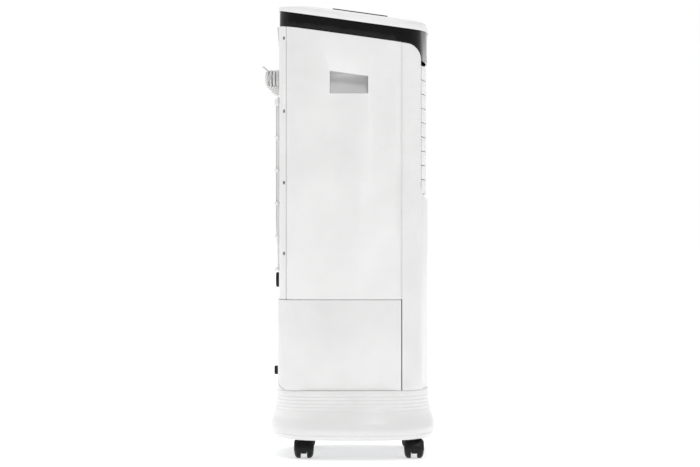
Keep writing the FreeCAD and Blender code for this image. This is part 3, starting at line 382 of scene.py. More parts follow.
def soften(node, width, segments=3, angle=35):
    """Rounds a CAD node's edges the way a mould does; the mesh itself is left alone."""
    item = nodes[node]
    weld = item.modifiers.new("weld", "WELD")
    weld.merge_threshold = 0.01 * MM
    flat = item.modifiers.new("flat", "DECIMATE")
    flat.decimate_type = "DISSOLVE"
    flat.angle_limit = math.radians(0.4)
    bevel = item.modifiers.new("bevel", "BEVEL")
    bevel.width = width * MM
    bevel.segments = segments
    bevel.limit_method = "ANGLE"
    bevel.angle_limit = math.radians(angle)
    bevel.use_clamp_overlap = True
    bevel.harden_normals = True


# ---- cord

CORD_WIDE = 5.3  # millimetres
LEAD_ROUTE = ((82, 138, 693), (74, 137.8, 692.9), (66, 137.3, 693.1), (58, 136.7, 693.6),
              (50, 136.3, 693.8))
TAIL_ROUTE = ((50, 141.5, 672), (57, 141.3, 671.3), (64, 141, 671))
# The tied hank, millimetres: its middle, its layers out from the wall, and its folds' radii.
HANK_X, HANK_Z = -5.0, 680.0
TIE_X = -11.5
LAYER_Y, LAYER_STEP = 135.9, 5.35
OUTER_FOLD, INNER_FOLD = 14.0, 8.0


def hank_lanes():
    """Where each turn lies: (how far back, fold radius, how far its ends reach)."""
    lanes = []
    for layer in range(4):
        lanes.append((LAYER_Y + LAYER_STEP * layer, OUTER_FOLD - 0.5 * (layer % 2),
                      47.0 - 2.5 * layer % 6))
    for layer in (3, 2, 1):
        lanes.append((LAYER_Y + LAYER_STEP * layer, INNER_FOLD - 0.4 * (layer % 2),
                      38.0 + 2.0 * layer))
    return lanes


def hank_bend(side, lane):
    """Four points round one end of a turn, fanned away from the wall where nothing ties it."""
    depth, radius, reach = lane
    centre = HANK_X + side * (reach - radius)
    fan = 0.09 * (depth - 138.0)
    out = radius / math.cos(math.radians(22.5))
    points = []
    for angle in (67.5, 22.5, -22.5, -67.5):
        along, up = polar(1.0, math.radians(angle))
        points.append((centre + side * out * along, depth + fan * (1 + 2 * along),
                       HANK_Z + out * up))
    return points if side < 0 else points[::-1]


def hank_run(level, lane, following):
    """Four points along the top (level 1) or bottom (-1) of a turn, drawn in at the tie."""
    points = []
    for step in (24, 7, -7, -24):
        x = TIE_X + level * step
        share = 0.0 if level > 0 else smooth_step((x - TIE_X + 10) / 30)
        depth = lane[0] + share * (following[0] - lane[0])
        radius = lane[1] + share * (following[1] - lane[1])
        beside_tie, inner_turn = abs(step) < 10, radius < 10
        drawn = 0.9
        if beside_tie:
            drawn = 0.38 if inner_turn else 0.63
        points.append((x, depth, HANK_Z + level * drawn * radius))
    return points


def hank_turns():
    """The tied turns one after another, as one route."""
    lanes = hank_lanes()
    points = []
    for number, lane in enumerate(lanes):
        following = lanes[min(number + 1, len(lanes) - 1)]
        points += hank_run(1, lane, lane)
        points += hank_bend(-1, lane)
        points += hank_run(-1, lane, following)
        if number + 1 < len(lanes):
            points += hank_bend(1, following)
    return points


def build_cord():
    """The mains cord as one spline, from the relief through the hank to the plug."""
    route = [*LEAD_ROUTE[:-1], *hank_turns(), *TAIL_ROUTE[1:]]
    curve = bpy.data.curves.new("mains_cord", "CURVE")
    curve.dimensions = "3D"
    curve.bevel_depth = 1.0  # each point's radius scales it down to the cord's own
    curve.bevel_resolution = 6
    spline = curve.splines.new("NURBS")
    spline.points.add(len(route) - 1)
    for spot, point in zip(spline.points, route):
        spot.co = (*place(point), 1)
        spot.radius = CORD_WIDE / 2 * MM
    spline.order_u = 3
    spline.use_endpoint_u = True
    spline.resolution_u = 8
    cord = add_object("mains_cord", curve, "casing", "cord_white")
    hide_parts("cord_lead", "cord_hank", "cord_tail")
    return cord


# ---- casing

def arc(centre, radius, start, end, steps):
    """Points along an arc, angles in radians; the last point is left to the next stretch."""
    points = []
    for step in range(steps):
        u, v = polar(radius, start + (end - start) * step / steps)
        points.append((centre[0] + u, centre[1] + v))
    return points


# The casing from above, millimetres: its rear, front and side before they bow out, how far the
# side and front bow, and the corners' radii.
REAR_Y, FRONT_Y, SIDE_X = 131.0, -112.0, 144.0
SIDE_BOW, FRONT_BOW = 6.0, 24.5
REAR_ROUND, FRONT_ROUND = 36.0, 58.0


def casing_plan(grow, inset=0.0):
    """The casing's outline from above, grown and then drawn in, as (x, y) pairs."""
    rear_y, front_y = REAR_Y + grow, FRONT_Y - grow
    middle, half_long = (rear_y + front_y) / 2, (rear_y - front_y) / 2
    side = SIDE_X + grow
    side_radius = (half_long ** 2 + SIDE_BOW ** 2) / (2 * SIDE_BOW)
    side_x = side + SIDE_BOW - side_radius
    front_radius = (side ** 2 + FRONT_BOW ** 2) / (2 * FRONT_BOW)
    front_centre = front_y - FRONT_BOW + front_radius
    rear_round, front_round = REAR_ROUND + grow, FRONT_ROUND + grow
    y = rear_y - rear_round
    rear = (side_x + math.sqrt((side_radius - rear_round) ** 2 - (y - middle) ** 2), y)
    front = (90.0, -60.0)  # near the corner's centre; each pass brings it closer
    for _ in range(30):
        x = side_x + math.sqrt((side_radius - front_round) ** 2 - (front[1] - middle) ** 2)
        front = (x, front_centre - math.sqrt((front_radius - front_round) ** 2 - x * x))
    turn_one = math.atan2(rear[1] - middle, rear[0] - side_x)
    turn_two = math.atan2(front[1] - middle, front[0] - side_x)
    turn_three = math.atan2(front[1] - front_centre, front[0])
    half = [(rear[0] * step / 8, rear_y - inset) for step in range(8)]
    half += arc(rear, rear_round - inset, math.pi / 2, turn_one, 16)
    half += arc((side_x, middle), side_radius - inset, turn_one, turn_two, 24)
    half += arc(front, front_round - inset, turn_two, turn_three, 20)
    half += arc((0, front_centre), front_radius - inset, turn_three, -math.pi / 2, 16)
    half.append((0, front_centre - front_radius + inset))
    return half + [(-x, y) for x, y in half[-2:0:-1]]


# The lid's side profile along its middle: (y, height it can't pass), millimetres.
LID_LIMIT = ((-138.0, 769.5), (-128.0, 781.5), (38.0, 803.6), (100.0, 804.4), (126.0, 803.6),
             (132.0, 802.4))
LID_GROW = 0.8
LID_THICK, LID_RIM = 16.7, 4.0
BAND_TOP = 781.1
SLOPE, CROWN = 0.138, 3200  # rise per millimetre backwards; x * x / CROWN is the fall sideways


def band_top(x, y):
    """Height of the black band's crowned, sloping top edge."""
    return BAND_TOP + SLOPE * y - x * x / CROWN


def lid_top(x, y):
    """Height of the lid, crowned and falling away a little towards its sides and front."""
    limit = LID_LIMIT[-1][1]
    for lower, upper in zip(LID_LIMIT, LID_LIMIT[1:]):
        if lower[0] <= y <= upper[0]:
            limit = lower[1] + (upper[1] - lower[1]) * (y - lower[0]) / (upper[0] - lower[0])
    fall = 4.3 * smooth_step((abs(x) - 95) / 55) + 2.0 * smooth_step((-100 - y) / 35)
    return min(band_top(x, y) + LID_THICK, limit) - fall


def build_lid():
    """The lid, with a well rounded rim that hangs just over the band's top edge."""
    mesh = bmesh.new()
    rings = []
    for inset in (12, 1.2):
        rings.append([(x, y, band_top(x, y) + 0.2) for x, y in casing_plan(LID_GROW, inset)])
    edge = [lid_top(x, y) - LID_RIM for x, y in casing_plan(LID_GROW)]
    for inset, lift in ((1.1, 0.3), (0.7, 0.0), (0.25, 0.1), (0.0, 0.5)):
        plan = casing_plan(LID_GROW, inset)
        rings.append([(x, y, min(band_top(x, y), top - 1.2) + lift)
                      for (x, y), top in zip(plan, edge)])
    for step in range(9):
        inward, up = polar(LID_RIM, math.radians(90 * step / 8))
        plan = casing_plan(LID_GROW, LID_RIM - inward)
        rings.append([(x, y, lid_top(x, y) - LID_RIM + up) for x, y in plan])
    for inset in (5, 7, 9, 12, 15, 18, 22, 26, 30):
        last = casing_plan(LID_GROW, inset)
        rings.append([(x, y, lid_top(x, y)) for x, y in last])
    for share in (0.94, 0.88, 0.8, 0.7, 0.55, 0.35, 0.12):
        rings.append([(x * share, y * share, lid_top(x * share, y * share)) for x, y in last])
    add_loft(mesh, rings)
    lid = finish_mesh(mesh, "lid_shell", "casing", "shell_white", sharp=50)
    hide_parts("top_lid")


# The upright joints beside a side panel: (x, y), the way out of the casing there, and the top.
JOINTS = ((139.28, 117.2, 0.787, 0.617, 763.0), (146.25, -86.6, 0.997, -0.078, 735.6))
JOINT_FOOT = 284.6
# A tongue's section, as (along the casing, into it) pairs.
TONGUE = ((-0.42, 0.45), (0.42, 0.45), (0.42, 1.7), (-0.42, 1.7))


def build_joint_beads():
    """The tongues seen deep in the upright joints either side of each side panel."""
    mesh = bmesh.new()
    for side in (-1, 1):
        for x, y, out_x, out_y, top in JOINTS:
            rings = []
            for z in (JOINT_FOOT, top):
                ring = []
                for along, deep in TONGUE:
                    ring.append((side * (x - out_x * deep - out_y * along),
                                 y - out_y * deep + out_x * along, z))
                rings.append(ring)
            add_loft(mesh, rings)
    finish_mesh(mesh, "joint_beads", "casing", "shell_white")


# The hand recess's lining, as (x, z) pairs, and where along the casing its sections lie.
SCOOP = ((149.2, 647.0), (146.6, 648.0), (143.2, 650.4), (139.2, 653.9), (134.8, 658.4),
         (130.6, 663.2), (127.2, 667.9), (124.7, 672.6), (123.3, 677.0), (123.2, 680.0),
         (124.4, 682.4), (127.5, 683.5), (134.0, 684.1), (141.0, 684.8), (147.4, 685.5))
SCOOP_CEILING = 682.0
SCOOP_STATIONS = (-26.7, -26.0, 39.5, 40.2)


def build_recess_liners():
    """The hand recess's smooth scoop, running from its lower lip up and round to its ceiling."""
    mesh = bmesh.new()
    behind = [(x - 0.5, z - 0.5) if z < SCOOP_CEILING else (x, z + 0.4) for x, z in SCOOP[::-1]]
    for side in (-1, 1):
        rings = []
        for y in SCOOP_STATIONS:
            rings.append([(side * x, y, z) for x, z in (*SCOOP, *behind)])
        add_loft(mesh, rings)
    # The lining takes the darker grille_white: painted shade inside the hand recess, on plastic as
    # white as the casing
    finish_mesh(mesh, "recess_liners", "casing", "grille_white", sharp=60)


def bar_outline(half, low, high, corner, inset=0.0, steps=5):
    """A rounded bar's outline, half wide either side, from low to high, as (u, v) pairs."""
    points = []
    radius = max(0.05, corner - inset)
    for x, z, start in ((half - corner, high - corner, 0), (corner - half, high - corner, 90),
                        (corner - half, low + corner, 180), (half - corner, low + corner, 270)):
        for step in range(steps + 1):
            u, v = polar(radius, math.radians(start + 90 * step / steps))
            points.append((x + u, z + v))
    return points


def add_bar(mesh, x, half, low, high, corner, depths):
    """A rounded bar on the back round x, with an (inset, y) pair for each of its levels."""
    rings = []
    for inset, y in depths:
        rings.append([(x + u, y, z) for u, z in bar_outline(half, low, high, corner, inset)])
    add_loft(mesh, rings)


# The grille, millimetres: where its bars start, and how far back the ribs, frame and slats reach.
GRILLE_FACE, RIB_REAR, FRAME_REAR, SLAT_REAR = 131.4, 138.9, 134.1, 136.9
RIB_LEVELS = [333.0 + 58.7 * number for number in range(6)]
RIB_TALL, TOP_RIB_TALL = 6.0, 13.0
FRAME_X, FRAME_TOP = 110.0, 643.0
SLAT_PITCH, SLAT_BOTTOM, SLAT_TOP = 6.1, 341.0, 631.0


def build_ribs():
    """The intake grille's frame, and the rounded ribs that stand out of it."""
    low, high = box_mm("intake_grille")
    mesh = bmesh.new()
    rounded = ((0, GRILLE_FACE), (0, RIB_REAR - 1.6), (0.25, RIB_REAR - 0.7),
               (0.8, RIB_REAR - 0.2), (1.6, RIB_REAR))
    for level in RIB_LEVELS:
        tall = TOP_RIB_TALL if level == RIB_LEVELS[-1] else RIB_TALL
        add_bar(mesh, 0, high.x, level, level + tall, 2.8, rounded)
    shallow = ((0, GRILLE_FACE), (0, FRAME_REAR - 0.7), (0.4, FRAME_REAR - 0.2),
               (1.0, FRAME_REAR))
    for x in (-FRAME_X, FRAME_X):
        add_bar(mesh, x, 2.2, low.z + 1.5, FRAME_TOP, 2.0, shallow)
    for bottom, top in ((333.0, 344.0), (628.0, 642.5)):
        add_bar(mesh, 0, FRAME_X + 1.5, bottom, top, 2.0, shallow)
    ribs = finish_mesh(mesh, "grille_ribs", "intake", "shell_white", sharp=35)
    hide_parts("intake_grille")


def build_slats():
    """The intake grille's bowed basket of thin upright slats, tied by cross wires."""
    low = box_mm("intake_grille")[0]
    mesh = bmesh.new()
    bottom, top = SLAT_BOTTOM, SLAT_TOP
    for number in range(-16, 17):
        x = number * SLAT_PITCH
        rings = []
        for row in range(25):
            z = bottom + (top - bottom) * row / 24
            outer = SLAT_REAR - 4.2 * smooth_step((430 - z) / 100)
            section = ((-0.8, low.y), (0.8, low.y), (0.8, outer - 0.8), (0.5, outer - 0.2),
                       (0, outer), (-0.5, outer - 0.2), (-0.8, outer - 0.8))
            rings.append([(x + u, y, z) for u, y in section])
        add_loft(mesh, rings)
    for row in range(1, 29):
        z = bottom + (top - bottom) * row / 29
        add_block(mesh, (-98, 98), (low.y + 0.6, low.y + 2.4), (z - 0.6, z + 0.6))
    for level in (bottom, *RIB_LEVELS[1:5], top - 4):
        add_block(mesh, (-98.4, 98.4), (low.y, 132.2), (level, level + 4))
    # The slats take the darker grille_white: painted shade between the ribs, on plastic as white as
    # the ribs
    slats = finish_mesh(mesh, "grille_slats", "intake", "grille_white", sharp=35)
    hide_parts("intake_grille")


# ---- base

# Skirt sections, millimetres: inset from the widest place, height, squareness front and rear.
SKIRT = ((6.8, 36, 2.8, 2.8), (2.2, 43, 2.8, 2.8), (0, 53, 2.8, 2.8), (1.8, 63, 2.8, 2.9),
         (5.2, 73, 2.9, 3.1), (8.6, 84, 3.1, 3.6), (11.2, 98, 3.4, 4.3), (12.7, 123, 3.6, 5.0))
SKIRT_AROUND = 200
# Moulded ridges and the parting groove: where they lie, how far apart and how deep they are.
RIDGE_BOTTOM, RIDGE_TOP, RIDGE_PITCH, RIDGE_DEEP = 86.0, 117.0, 6.2, 0.45
GROOVE_Z, GROOVE_WIDE, GROOVE_DEEP = 45.0, 0.7, 0.8


def skirt_section(z):
    """The skirt's inset and squareness at a height, eased between the sections."""
    for lower, upper in zip(SKIRT, SKIRT[1:]):
        if z <= upper[1]:
            share = (z - lower[1]) / (upper[1] - lower[1])
            return [a + share * (b - a) for a, b in zip(lower, upper)]
    return SKIRT[-1]


def skirt_ring(z, inward=0.0):
    """One level outline of the skirt, drawn in by inward."""
    levels = [skirt_section(min(123.0, max(36.0, z + shift))) for shift in (-3, 0, 3)]
    inset, _, front, rear = [sum(level[item] for level in levels) / 3 for item in range(4)]
    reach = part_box("base_skirt")[1]
    half_width = reach.x / MM - 1.25 * inset - inward
    half_depth = reach.y / MM - inset - inward
    ring = []
    for step in range(SKIRT_AROUND):
        angle = 2 * math.pi * step / SKIRT_AROUND
        power = 2 / (rear if math.sin(angle) > 0 else front)
        ring.append((*squarish(angle, power, half_width, half_depth), z))
    return ring


def ridge_depth(z):
    """Five soft moulded ridges above the flare, and the parting groove over the foot."""
    depth = GROOVE_DEEP * math.exp(-((z - GROOVE_Z) / GROOVE_WIDE) ** 2)
    if RIDGE_BOTTOM < z < RIDGE_TOP:
        wave = math.cos(2 * math.pi * (z - RIDGE_BOTTOM) / RIDGE_PITCH)
        depth += RIDGE_DEEP * (1 - wave) / 2
    return depth


def build_skirt():
    """The flared skirt: ridged outside, rolled under at its foot, open below."""
    wall = 2.5
    mesh = bmesh.new()
    rings = [skirt_ring(z, wall) for z in (120, 100, 80, 60, 48, 39.5)]
    rings += [skirt_ring(37, 1.9), skirt_ring(36, 1.3)]
    rings.append(skirt_ring(36.4, 0.35))
    level = 37.2
    while level < 121.5:
        rings.append(skirt_ring(level, ridge_depth(level)))
        level += 0.45 if level < 47 or 85 < level < 118 else 1.5
    for lift, inward in ((0, 0), (0.5, 0.15), (1.0, 0.5), (1.35, 1.0), (1.75, 1.6)):
        rings.append(skirt_ring(121.6 + lift, inward))
    add_loft(mesh, rings)
    skirt = finish_mesh(mesh, "skirt", "casing", "shell_white")
    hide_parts("base_skirt")


# ---- casters

WHEEL_PROFILE = ((15.4, 5.6), (16.2, 5.9), (16.6, 6.8), (16.6, 10.2), (16.3, 11.8), (15.2, 13.6),
                 (13.2, 15.3), (10.2, 16.6), (6.4, 17.3), (3.2, 17.5), (3.0, 17.1), (0.0, 17.1))
HOOD_OUTSIDE = ((18.9, 0.0), (18.9, 8.5), (18.6, 11.5), (17.6, 14.2), (15.9, 16.2), (13.4, 17.5))
HOOD_START, HOOD_SWEEP = -8, 196  # degrees round the axle
WEB_RADIUS, WEB_BOTTOM = 17.7, 9.2
HOOD_INSIDE = ((13.0, 16.9), (15.2, 15.9), (16.7, 14.0), (17.3, 11.4), (17.5, 8.5), (17.5, 0.0))


def build_caster(corner):
    """A twin-wheel caster: domed wheels on an axle, and a hood with a web between them."""
    low, high = box_mm("caster_wheels_" + corner)
    x, y, z = (low + high) / 2
    spin = about_y(x, z)
    wheels = bmesh.new()
    for side in (-1, 1):
        inner = [(0.0, 5.6), (12.0, 5.6), (12.6, 6.4), (14.2, 6.4), (14.8, 5.6)]
        profile = [(radius, y + side * along) for radius, along in [*inner, *WHEEL_PROFILE]]
        add_lathe(wheels, profile, spin, 56)
    add_lathe(wheels, [(0.0, y - 6.5), (2.5, y - 6.5), (2.5, y + 6.5), (0.0, y + 6.5)], spin, 24)
    piece = finish_mesh(wheels, "wheels_" + corner, "wheels_" + corner, "caster_black")
    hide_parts("caster_wheels_" + corner)
    hood = bmesh.new()
    outer = [(r, y - a) for r, a in HOOD_OUTSIDE[::-1]] + [(r, y + a) for r, a in HOOD_OUTSIDE[1:]]
    inner = [(r, y + a) for r, a in HOOD_INSIDE] + [(r, y - a) for r, a in HOOD_INSIDE[-2::-1]]
    add_lathe(hood, [*outer, *inner, outer[0]], spin, 40, HOOD_START, HOOD_SWEEP)
    for angle in (HOOD_START, HOOD_START + HOOD_SWEEP):
        turn = math.radians(angle)
        hood.faces.new([hood.verts.new(place(spin(r, turn, a))) for r, a in [*outer, *inner]])
    add_web(hood, x, y, z)
    stem_x = math.copysign(box_mm("caster_stems")[1].x - 3.0, x)
    collar = [(3.1, z + 8), (5.0, z + 8), (5.0, 34.4), (4.4, 35.2), (3.1, 35.2), (3.1, z + 8)]
    add_lathe(hood, collar, about_z(stem_x, y), 32)
    piece = finish_mesh(hood, "hood_" + corner, "swivel_" + corner, "caster_black", sharp=32)
    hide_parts("caster_hood_" + corner)


def add_web(mesh, x, y, z):
    """The hood's middle web: a disc cut off level above the floor, with softened rims."""
    cut = WEB_BOTTOM - z
    start = math.asin(cut / WEB_RADIUS)
    rings = []
    for inset, along in ((1.0, -5.0), (0.3, -4.8), (0.0, -4.2), (0.0, 4.2), (0.3, 4.8), (1.0, 5.0)):
        ring = []
        for step in range(49):
            u, v = polar(WEB_RADIUS - inset, start + (math.pi - 2 * start) * step / 48)
            ring.append((x + u, y + along, z + max(cut + inset, v)))
        rings.append(ring)
    add_loft(mesh, rings)


# ---- small pieces

def circle_points(radius, around=40):
    """A whole circle, as (u, v) pairs."""
    return [polar(radius, 2 * math.pi * step / around) for step in range(around)]


def stadium(low, high, half, inset=0.0, steps=10):
    """A round-ended bar's outline from low to high, as (u, v) pairs."""
    radius = half - inset
    points = []
    for centre, start in ((high - half, -90), (low + half, 90)):
        for step in range(steps + 1):
            u, v = polar(radius, math.radians(start + 180 * step / steps))
            points.append((centre + u, v))
    return points


def build_latch():
    """The tank catch: a dished knob with a finger grip and a round-ended tab."""
    low, high = box_mm("tank_latch")
    z, rear = (low.z + high.z) / 2, high.y
    mesh = bmesh.new()
    knob = ((0.0, 2.2), (8.6, 2.2), (9.8, 1.6), (10.6, 0.3), (11.4, 0.0), (12.4, 0.3),
            (13.3, 1.2), (13.7, 2.4), (13.7, 5.2), (13.4, 6.1), (12.8, 6.4), (4.0, 6.4))
    profile = [(radius, rear - deep) for radius, deep in knob]
    profile += [(4.0, low.y + 0.4), (3.6, low.y), (0.0, low.y)]
    add_lathe(mesh, profile, about_y(0, z), 72)
    grip = ((0, 2.6), (0, 0.9), (0.35, 0.3), (1.0, 0.0))
    tab = ((0.5, 6.5), (0, 6.0), (0, 4.3), (0.5, 3.8), (1.3, 3.6))
    for start, end, half, depths in ((-9.6, 9.6, 2.1, grip), (2, high.x, 5.0, tab)):
        rings = []
        for inset, deep in depths:
            rings.append([(u, rear - deep, z + v) for u, v in stadium(start, end, half, inset)])
        add_loft(mesh, rings)
    latch = finish_mesh(mesh, "latch_knob", "latch", "cap_black", sharp=30)
    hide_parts("tank_latch")


def fluted(stations, to_point, count, around=144):
    """Rings for a turned piece whose rim is cut by flutes, from (radius, along, depth)."""
    rings = []
    for radius, along, depth in stations:
        ring = []
        for step in range(around):
            angle = 2 * math.pi * step / around
            out = radius - depth * (0.5 - 0.5 * math.cos(count * angle)) ** 0.7
            ring.append(to_point(out, angle, along))
        rings.append(ring)
    return rings


def build_drain_cap():
    """The drain cap: fluted for the fingers, dished on its face, on a plain stem."""
    low, high = box_mm("drain_plug")
    z, rear = (low.z + high.z) / 2, high.y
    head = ((5.5, 9.4, 0), (7.5, 9.4, 0), (8.0, 8.9, 0), (8.0, 8.2, 0), (8.0, 7.6, 0.7),
            (8.0, 1.8, 0.7), (7.9, 1.1, 0.2), (7.4, 0.3, 0), (6.7, 0.0, 0), (5.6, 0.0, 0),
            (5.1, 0.3, 0), (4.9, 0.9, 0))
    stations = [(4.9, low.y, 0), (5.5, low.y + 0.6, 0)]
    stations += [(radius, rear - deep, cut) for radius, deep, cut in head]
    mesh = bmesh.new()
    add_loft(mesh, fluted(stations, about_y(0, z), 18))
    cap = finish_mesh(mesh, "drain_cap", "drain", "cap_black", sharp=30)
    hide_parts("drain_plug")


def build_pump():
    """The upright pump: a slotted strainer under a smooth drum, and its barbed riser."""
    low, high = box_mm("water_pump")
    x, y = (low.x + high.x) / 2, (low.y + high.y) / 2
    drum = ((17.4, 0, 0), (18.6, 0.5, 0), (19, 1.5, 0), (19, 4, 0), (19, 4.5, 1.7),
            (19, 19, 1.7), (19, 19.5, 0), (19, 22, 0), (18.2, 23, 0), (18.2, 34, 0),
            (17.6, 36, 0), (15.6, 38, 0), (12, 38.8, 0), (7.6, 39, 0), (6.2, 39.8, 0),
            (5, 42, 0))
    stations = [(radius, low.z + up, cut) for radius, up, cut in drum]
    for barb in range(4):
        z = high.z - 18 + 4 * barb
        stations += [(4.3, z, 0), (5, z + 0.3, 0), (4.4, z + 3.2, 0)]
    stations += [(4.3, high.z - 0.4, 0), (3.8, high.z, 0)]
    mesh = bmesh.new()
    add_loft(mesh, fluted(stations, about_z(x, y), 24))
    pump = finish_mesh(mesh, "pump_drum", "tank", "pump_black", sharp=30)
    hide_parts("water_pump")


def build_motor():
    """The fan motor: a domed can with cooling fins and a flange, bored for the shaft."""
    low, high = box_mm("fan_motor")
    x, y = (low.x + high.x) / 2, (low.y + high.y) / 2
    dome = ((0.0, 0), (11.0, 0), (12.0, 0.8), (13.0, 2.6), (27.0, 3.2), (33.0, 4.8), (36.6, 8),
            (38.0, 12))
    flange = ((38.0, 4), (45.4, 4), (46.0, 3.4), (46.0, 0.6), (45.4, 0), (4.05, 0), (4.05, 14),
              (0.0, 14))
    profile = [(radius, low.z + up) for radius, up in dome]
    for fin in range(8):
        z = low.z + 14 + 4.2 * fin
        profile += [(38.0, z), (36.0, z + 0.5), (36.0, z + 2.0), (38.0, z + 2.5)]
    profile += [(radius, high.z - down) for radius, down in flange]
    mesh = bmesh.new()
    add_lathe(mesh, profile, about_z(x, y), 80)
    motor = finish_mesh(mesh, "motor_can", "casing", "motor_steel", sharp=35)
    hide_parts("fan_motor")


def build_pad():
    """Corrugated paper sheets, their flutes slanting opposite ways, glued crest to crest."""
    low, high = box_mm("cooling_pad")
    sheets = 24
    pitch = (high.x - low.x) / sheets
    rise, thick = pitch / 2 - 0.25, 0.5
    rows = int((high.z - low.z) / 1.6)
    mesh = bmesh.new()
    for sheet in range(sheets):
        slant = 0.55 if sheet % 2 else -0.55
        middle = low.x + pitch * (sheet + 0.5)
        rings = []
        for row in range(rows + 1):
            z = low.z + (high.z - low.z) * row / rows
            ring = []
            for side, stations in ((-1, range(7)), (1, range(6, -1, -1))):
                for station in stations:
                    y = low.y + (high.y - low.y) * station / 6
                    wave = math.sin(2 * math.pi * (z + slant * y) / 13)
                    ring.append((middle + rise * wave + side * thick / 2, y, z))
            rings.append(ring)
        add_loft(mesh, rings)
    pad = finish_mesh(mesh, "pad_sheets", "casing", "pad_brown", sharp=60)
    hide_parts("cooling_pad")


def build_filter():
    """The dust filter: a slim frame with two cross bars, strung with fine crossed threads."""
    low, high = box_mm("dust_filter")
    mesh = bmesh.new()
    middle = (low.y + high.y) / 2
    rim = 4.5
    width, height = high.x - low.x, high.z - low.z
    inside_x = (low.x + rim - 0.5, high.x - rim + 0.5)
    inside_z = (low.z + rim - 0.5, high.z - rim + 0.5)
    threads_across, threads_up, half_thread = 50, 70, 0.28
    loops = ((0.6, low.y), (0.0, low.y + 0.6), (0.0, high.y - 0.6), (0.6, high.y),
             (rim - 0.6, high.y), (rim, high.y - 0.6), (rim, low.y + 0.6), (rim - 0.6, low.y))
    rings = []
    for inset, y in loops:
        rings.append([(low.x + inset, y, low.z + inset), (high.x - inset, y, low.z + inset),
                      (high.x - inset, y, high.z - inset), (low.x + inset, y, high.z - inset)])
    add_loft(mesh, [*rings, rings[0]], caps=False)
    for share in (1 / 3, 2 / 3):
        z = low.z + share * height
        add_block(mesh, inside_x, (low.y + 0.5, high.y - 0.5), (z - 1.6, z + 1.6))
    for number in range(1, threads_across):
        x = low.x + width * number / threads_across
        add_block(mesh, (x - half_thread, x + half_thread), (middle, middle + 0.5), inside_z)
    for number in range(1, threads_up):
        z = low.z + height * number / threads_up
        add_block(mesh, inside_x, (middle - 0.5, middle), (z - half_thread, z + half_thread))
    screen = finish_mesh(mesh, "filter_screen", "intake", "filter_grey", sharp=30)
    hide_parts("dust_filter")


# Heights of the four screws down each rear corner, millimetres.
SCREW_HEIGHTS = (365, 490, 616, 745)
SCREW_RADIUS = 3.2
SCREW_SUNK = 0.3
SCREW_CELLS = 30
# The rim and shank below a screw's face, as (radius, height) pairs.
SCREW_SHANK = ((3.2, 0.0), (3.2, -0.3), (1.6, -0.6), (1.6, -10.5), (0.4, -11.3))


def screw_face(u, v):
    """Height of a cross-headed screw's domed face above its rim, at a place on it."""
    height = 0.28 * (1 - (u * u + v * v) / SCREW_RADIUS ** 2)
    across = max(abs(u), abs(v))
    beside = min(abs(u), abs(v))
    return height - 0.75 * smooth_step((0.62 - beside) / 0.25) * smooth_step((2.05 - across) / 0.4)


def add_screw(mesh, seat, across, outward):
    """One screw: a domed face cut by a cross, over its rim and shank."""
    def spot(u, v, out):
        return seat + across * u + Vector((0, 0, v)) + outward * (out - SCREW_SUNK)

    grid = []
    for row in range(SCREW_CELLS + 1):
        line = []
        for column in range(SCREW_CELLS + 1):
            a, b = 2 * row / SCREW_CELLS - 1, 2 * column / SCREW_CELLS - 1
            u = SCREW_RADIUS * a * math.sqrt(1 - b * b / 2)
            v = SCREW_RADIUS * b * math.sqrt(1 - a * a / 2)
            line.append(mesh.verts.new(place(spot(u, v, screw_face(u, v)))))
        grid.append(line)
    for line, after in zip(grid, grid[1:]):
        for column in range(SCREW_CELLS):
            mesh.faces.new((line[column], line[column + 1], after[column + 1], after[column]))
    rings = []
    for radius, out in SCREW_SHANK:
        rings.append([spot(u, v, out) for u, v in circle_points(radius, 32)])
    add_loft(mesh, rings, caps=False)


def build_screws():
    """Countersunk cross-headed screws set square to the rounded rear corners."""
    corner = box_mm("casing_screws")[1]
    lean = math.sqrt(0.5)
    mesh = bmesh.new()
    for side in (-1, 1):
        outward = Vector((side * lean, lean, 0))
        across = Vector((-lean, side * lean, 0))
        x, y = side * (corner.x - SCREW_RADIUS * lean), corner.y - SCREW_RADIUS * lean
        for height in SCREW_HEIGHTS:
            add_screw(mesh, Vector((x, y, height)), across, outward)
    screws = finish_mesh(mesh, "corner_screws", "casing", "screw_steel", sharp=35)
    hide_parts("casing_screws")


def ribbon_ring(centre, wide, thick, half_wide, half_thick):
    """A flat strap's section with rounded corners, round a centre."""
    ring = []
    for u, v in ((-1, -0.6), (-0.8, -1), (0.8, -1), (1, -0.6), (1, 0.6), (0.8, 1), (-0.8, 1),
                 (-1, 0.6)):
        ring.append(tuple(centre + wide * (u * half_wide) + thick * (v * half_thick)))
    return ring


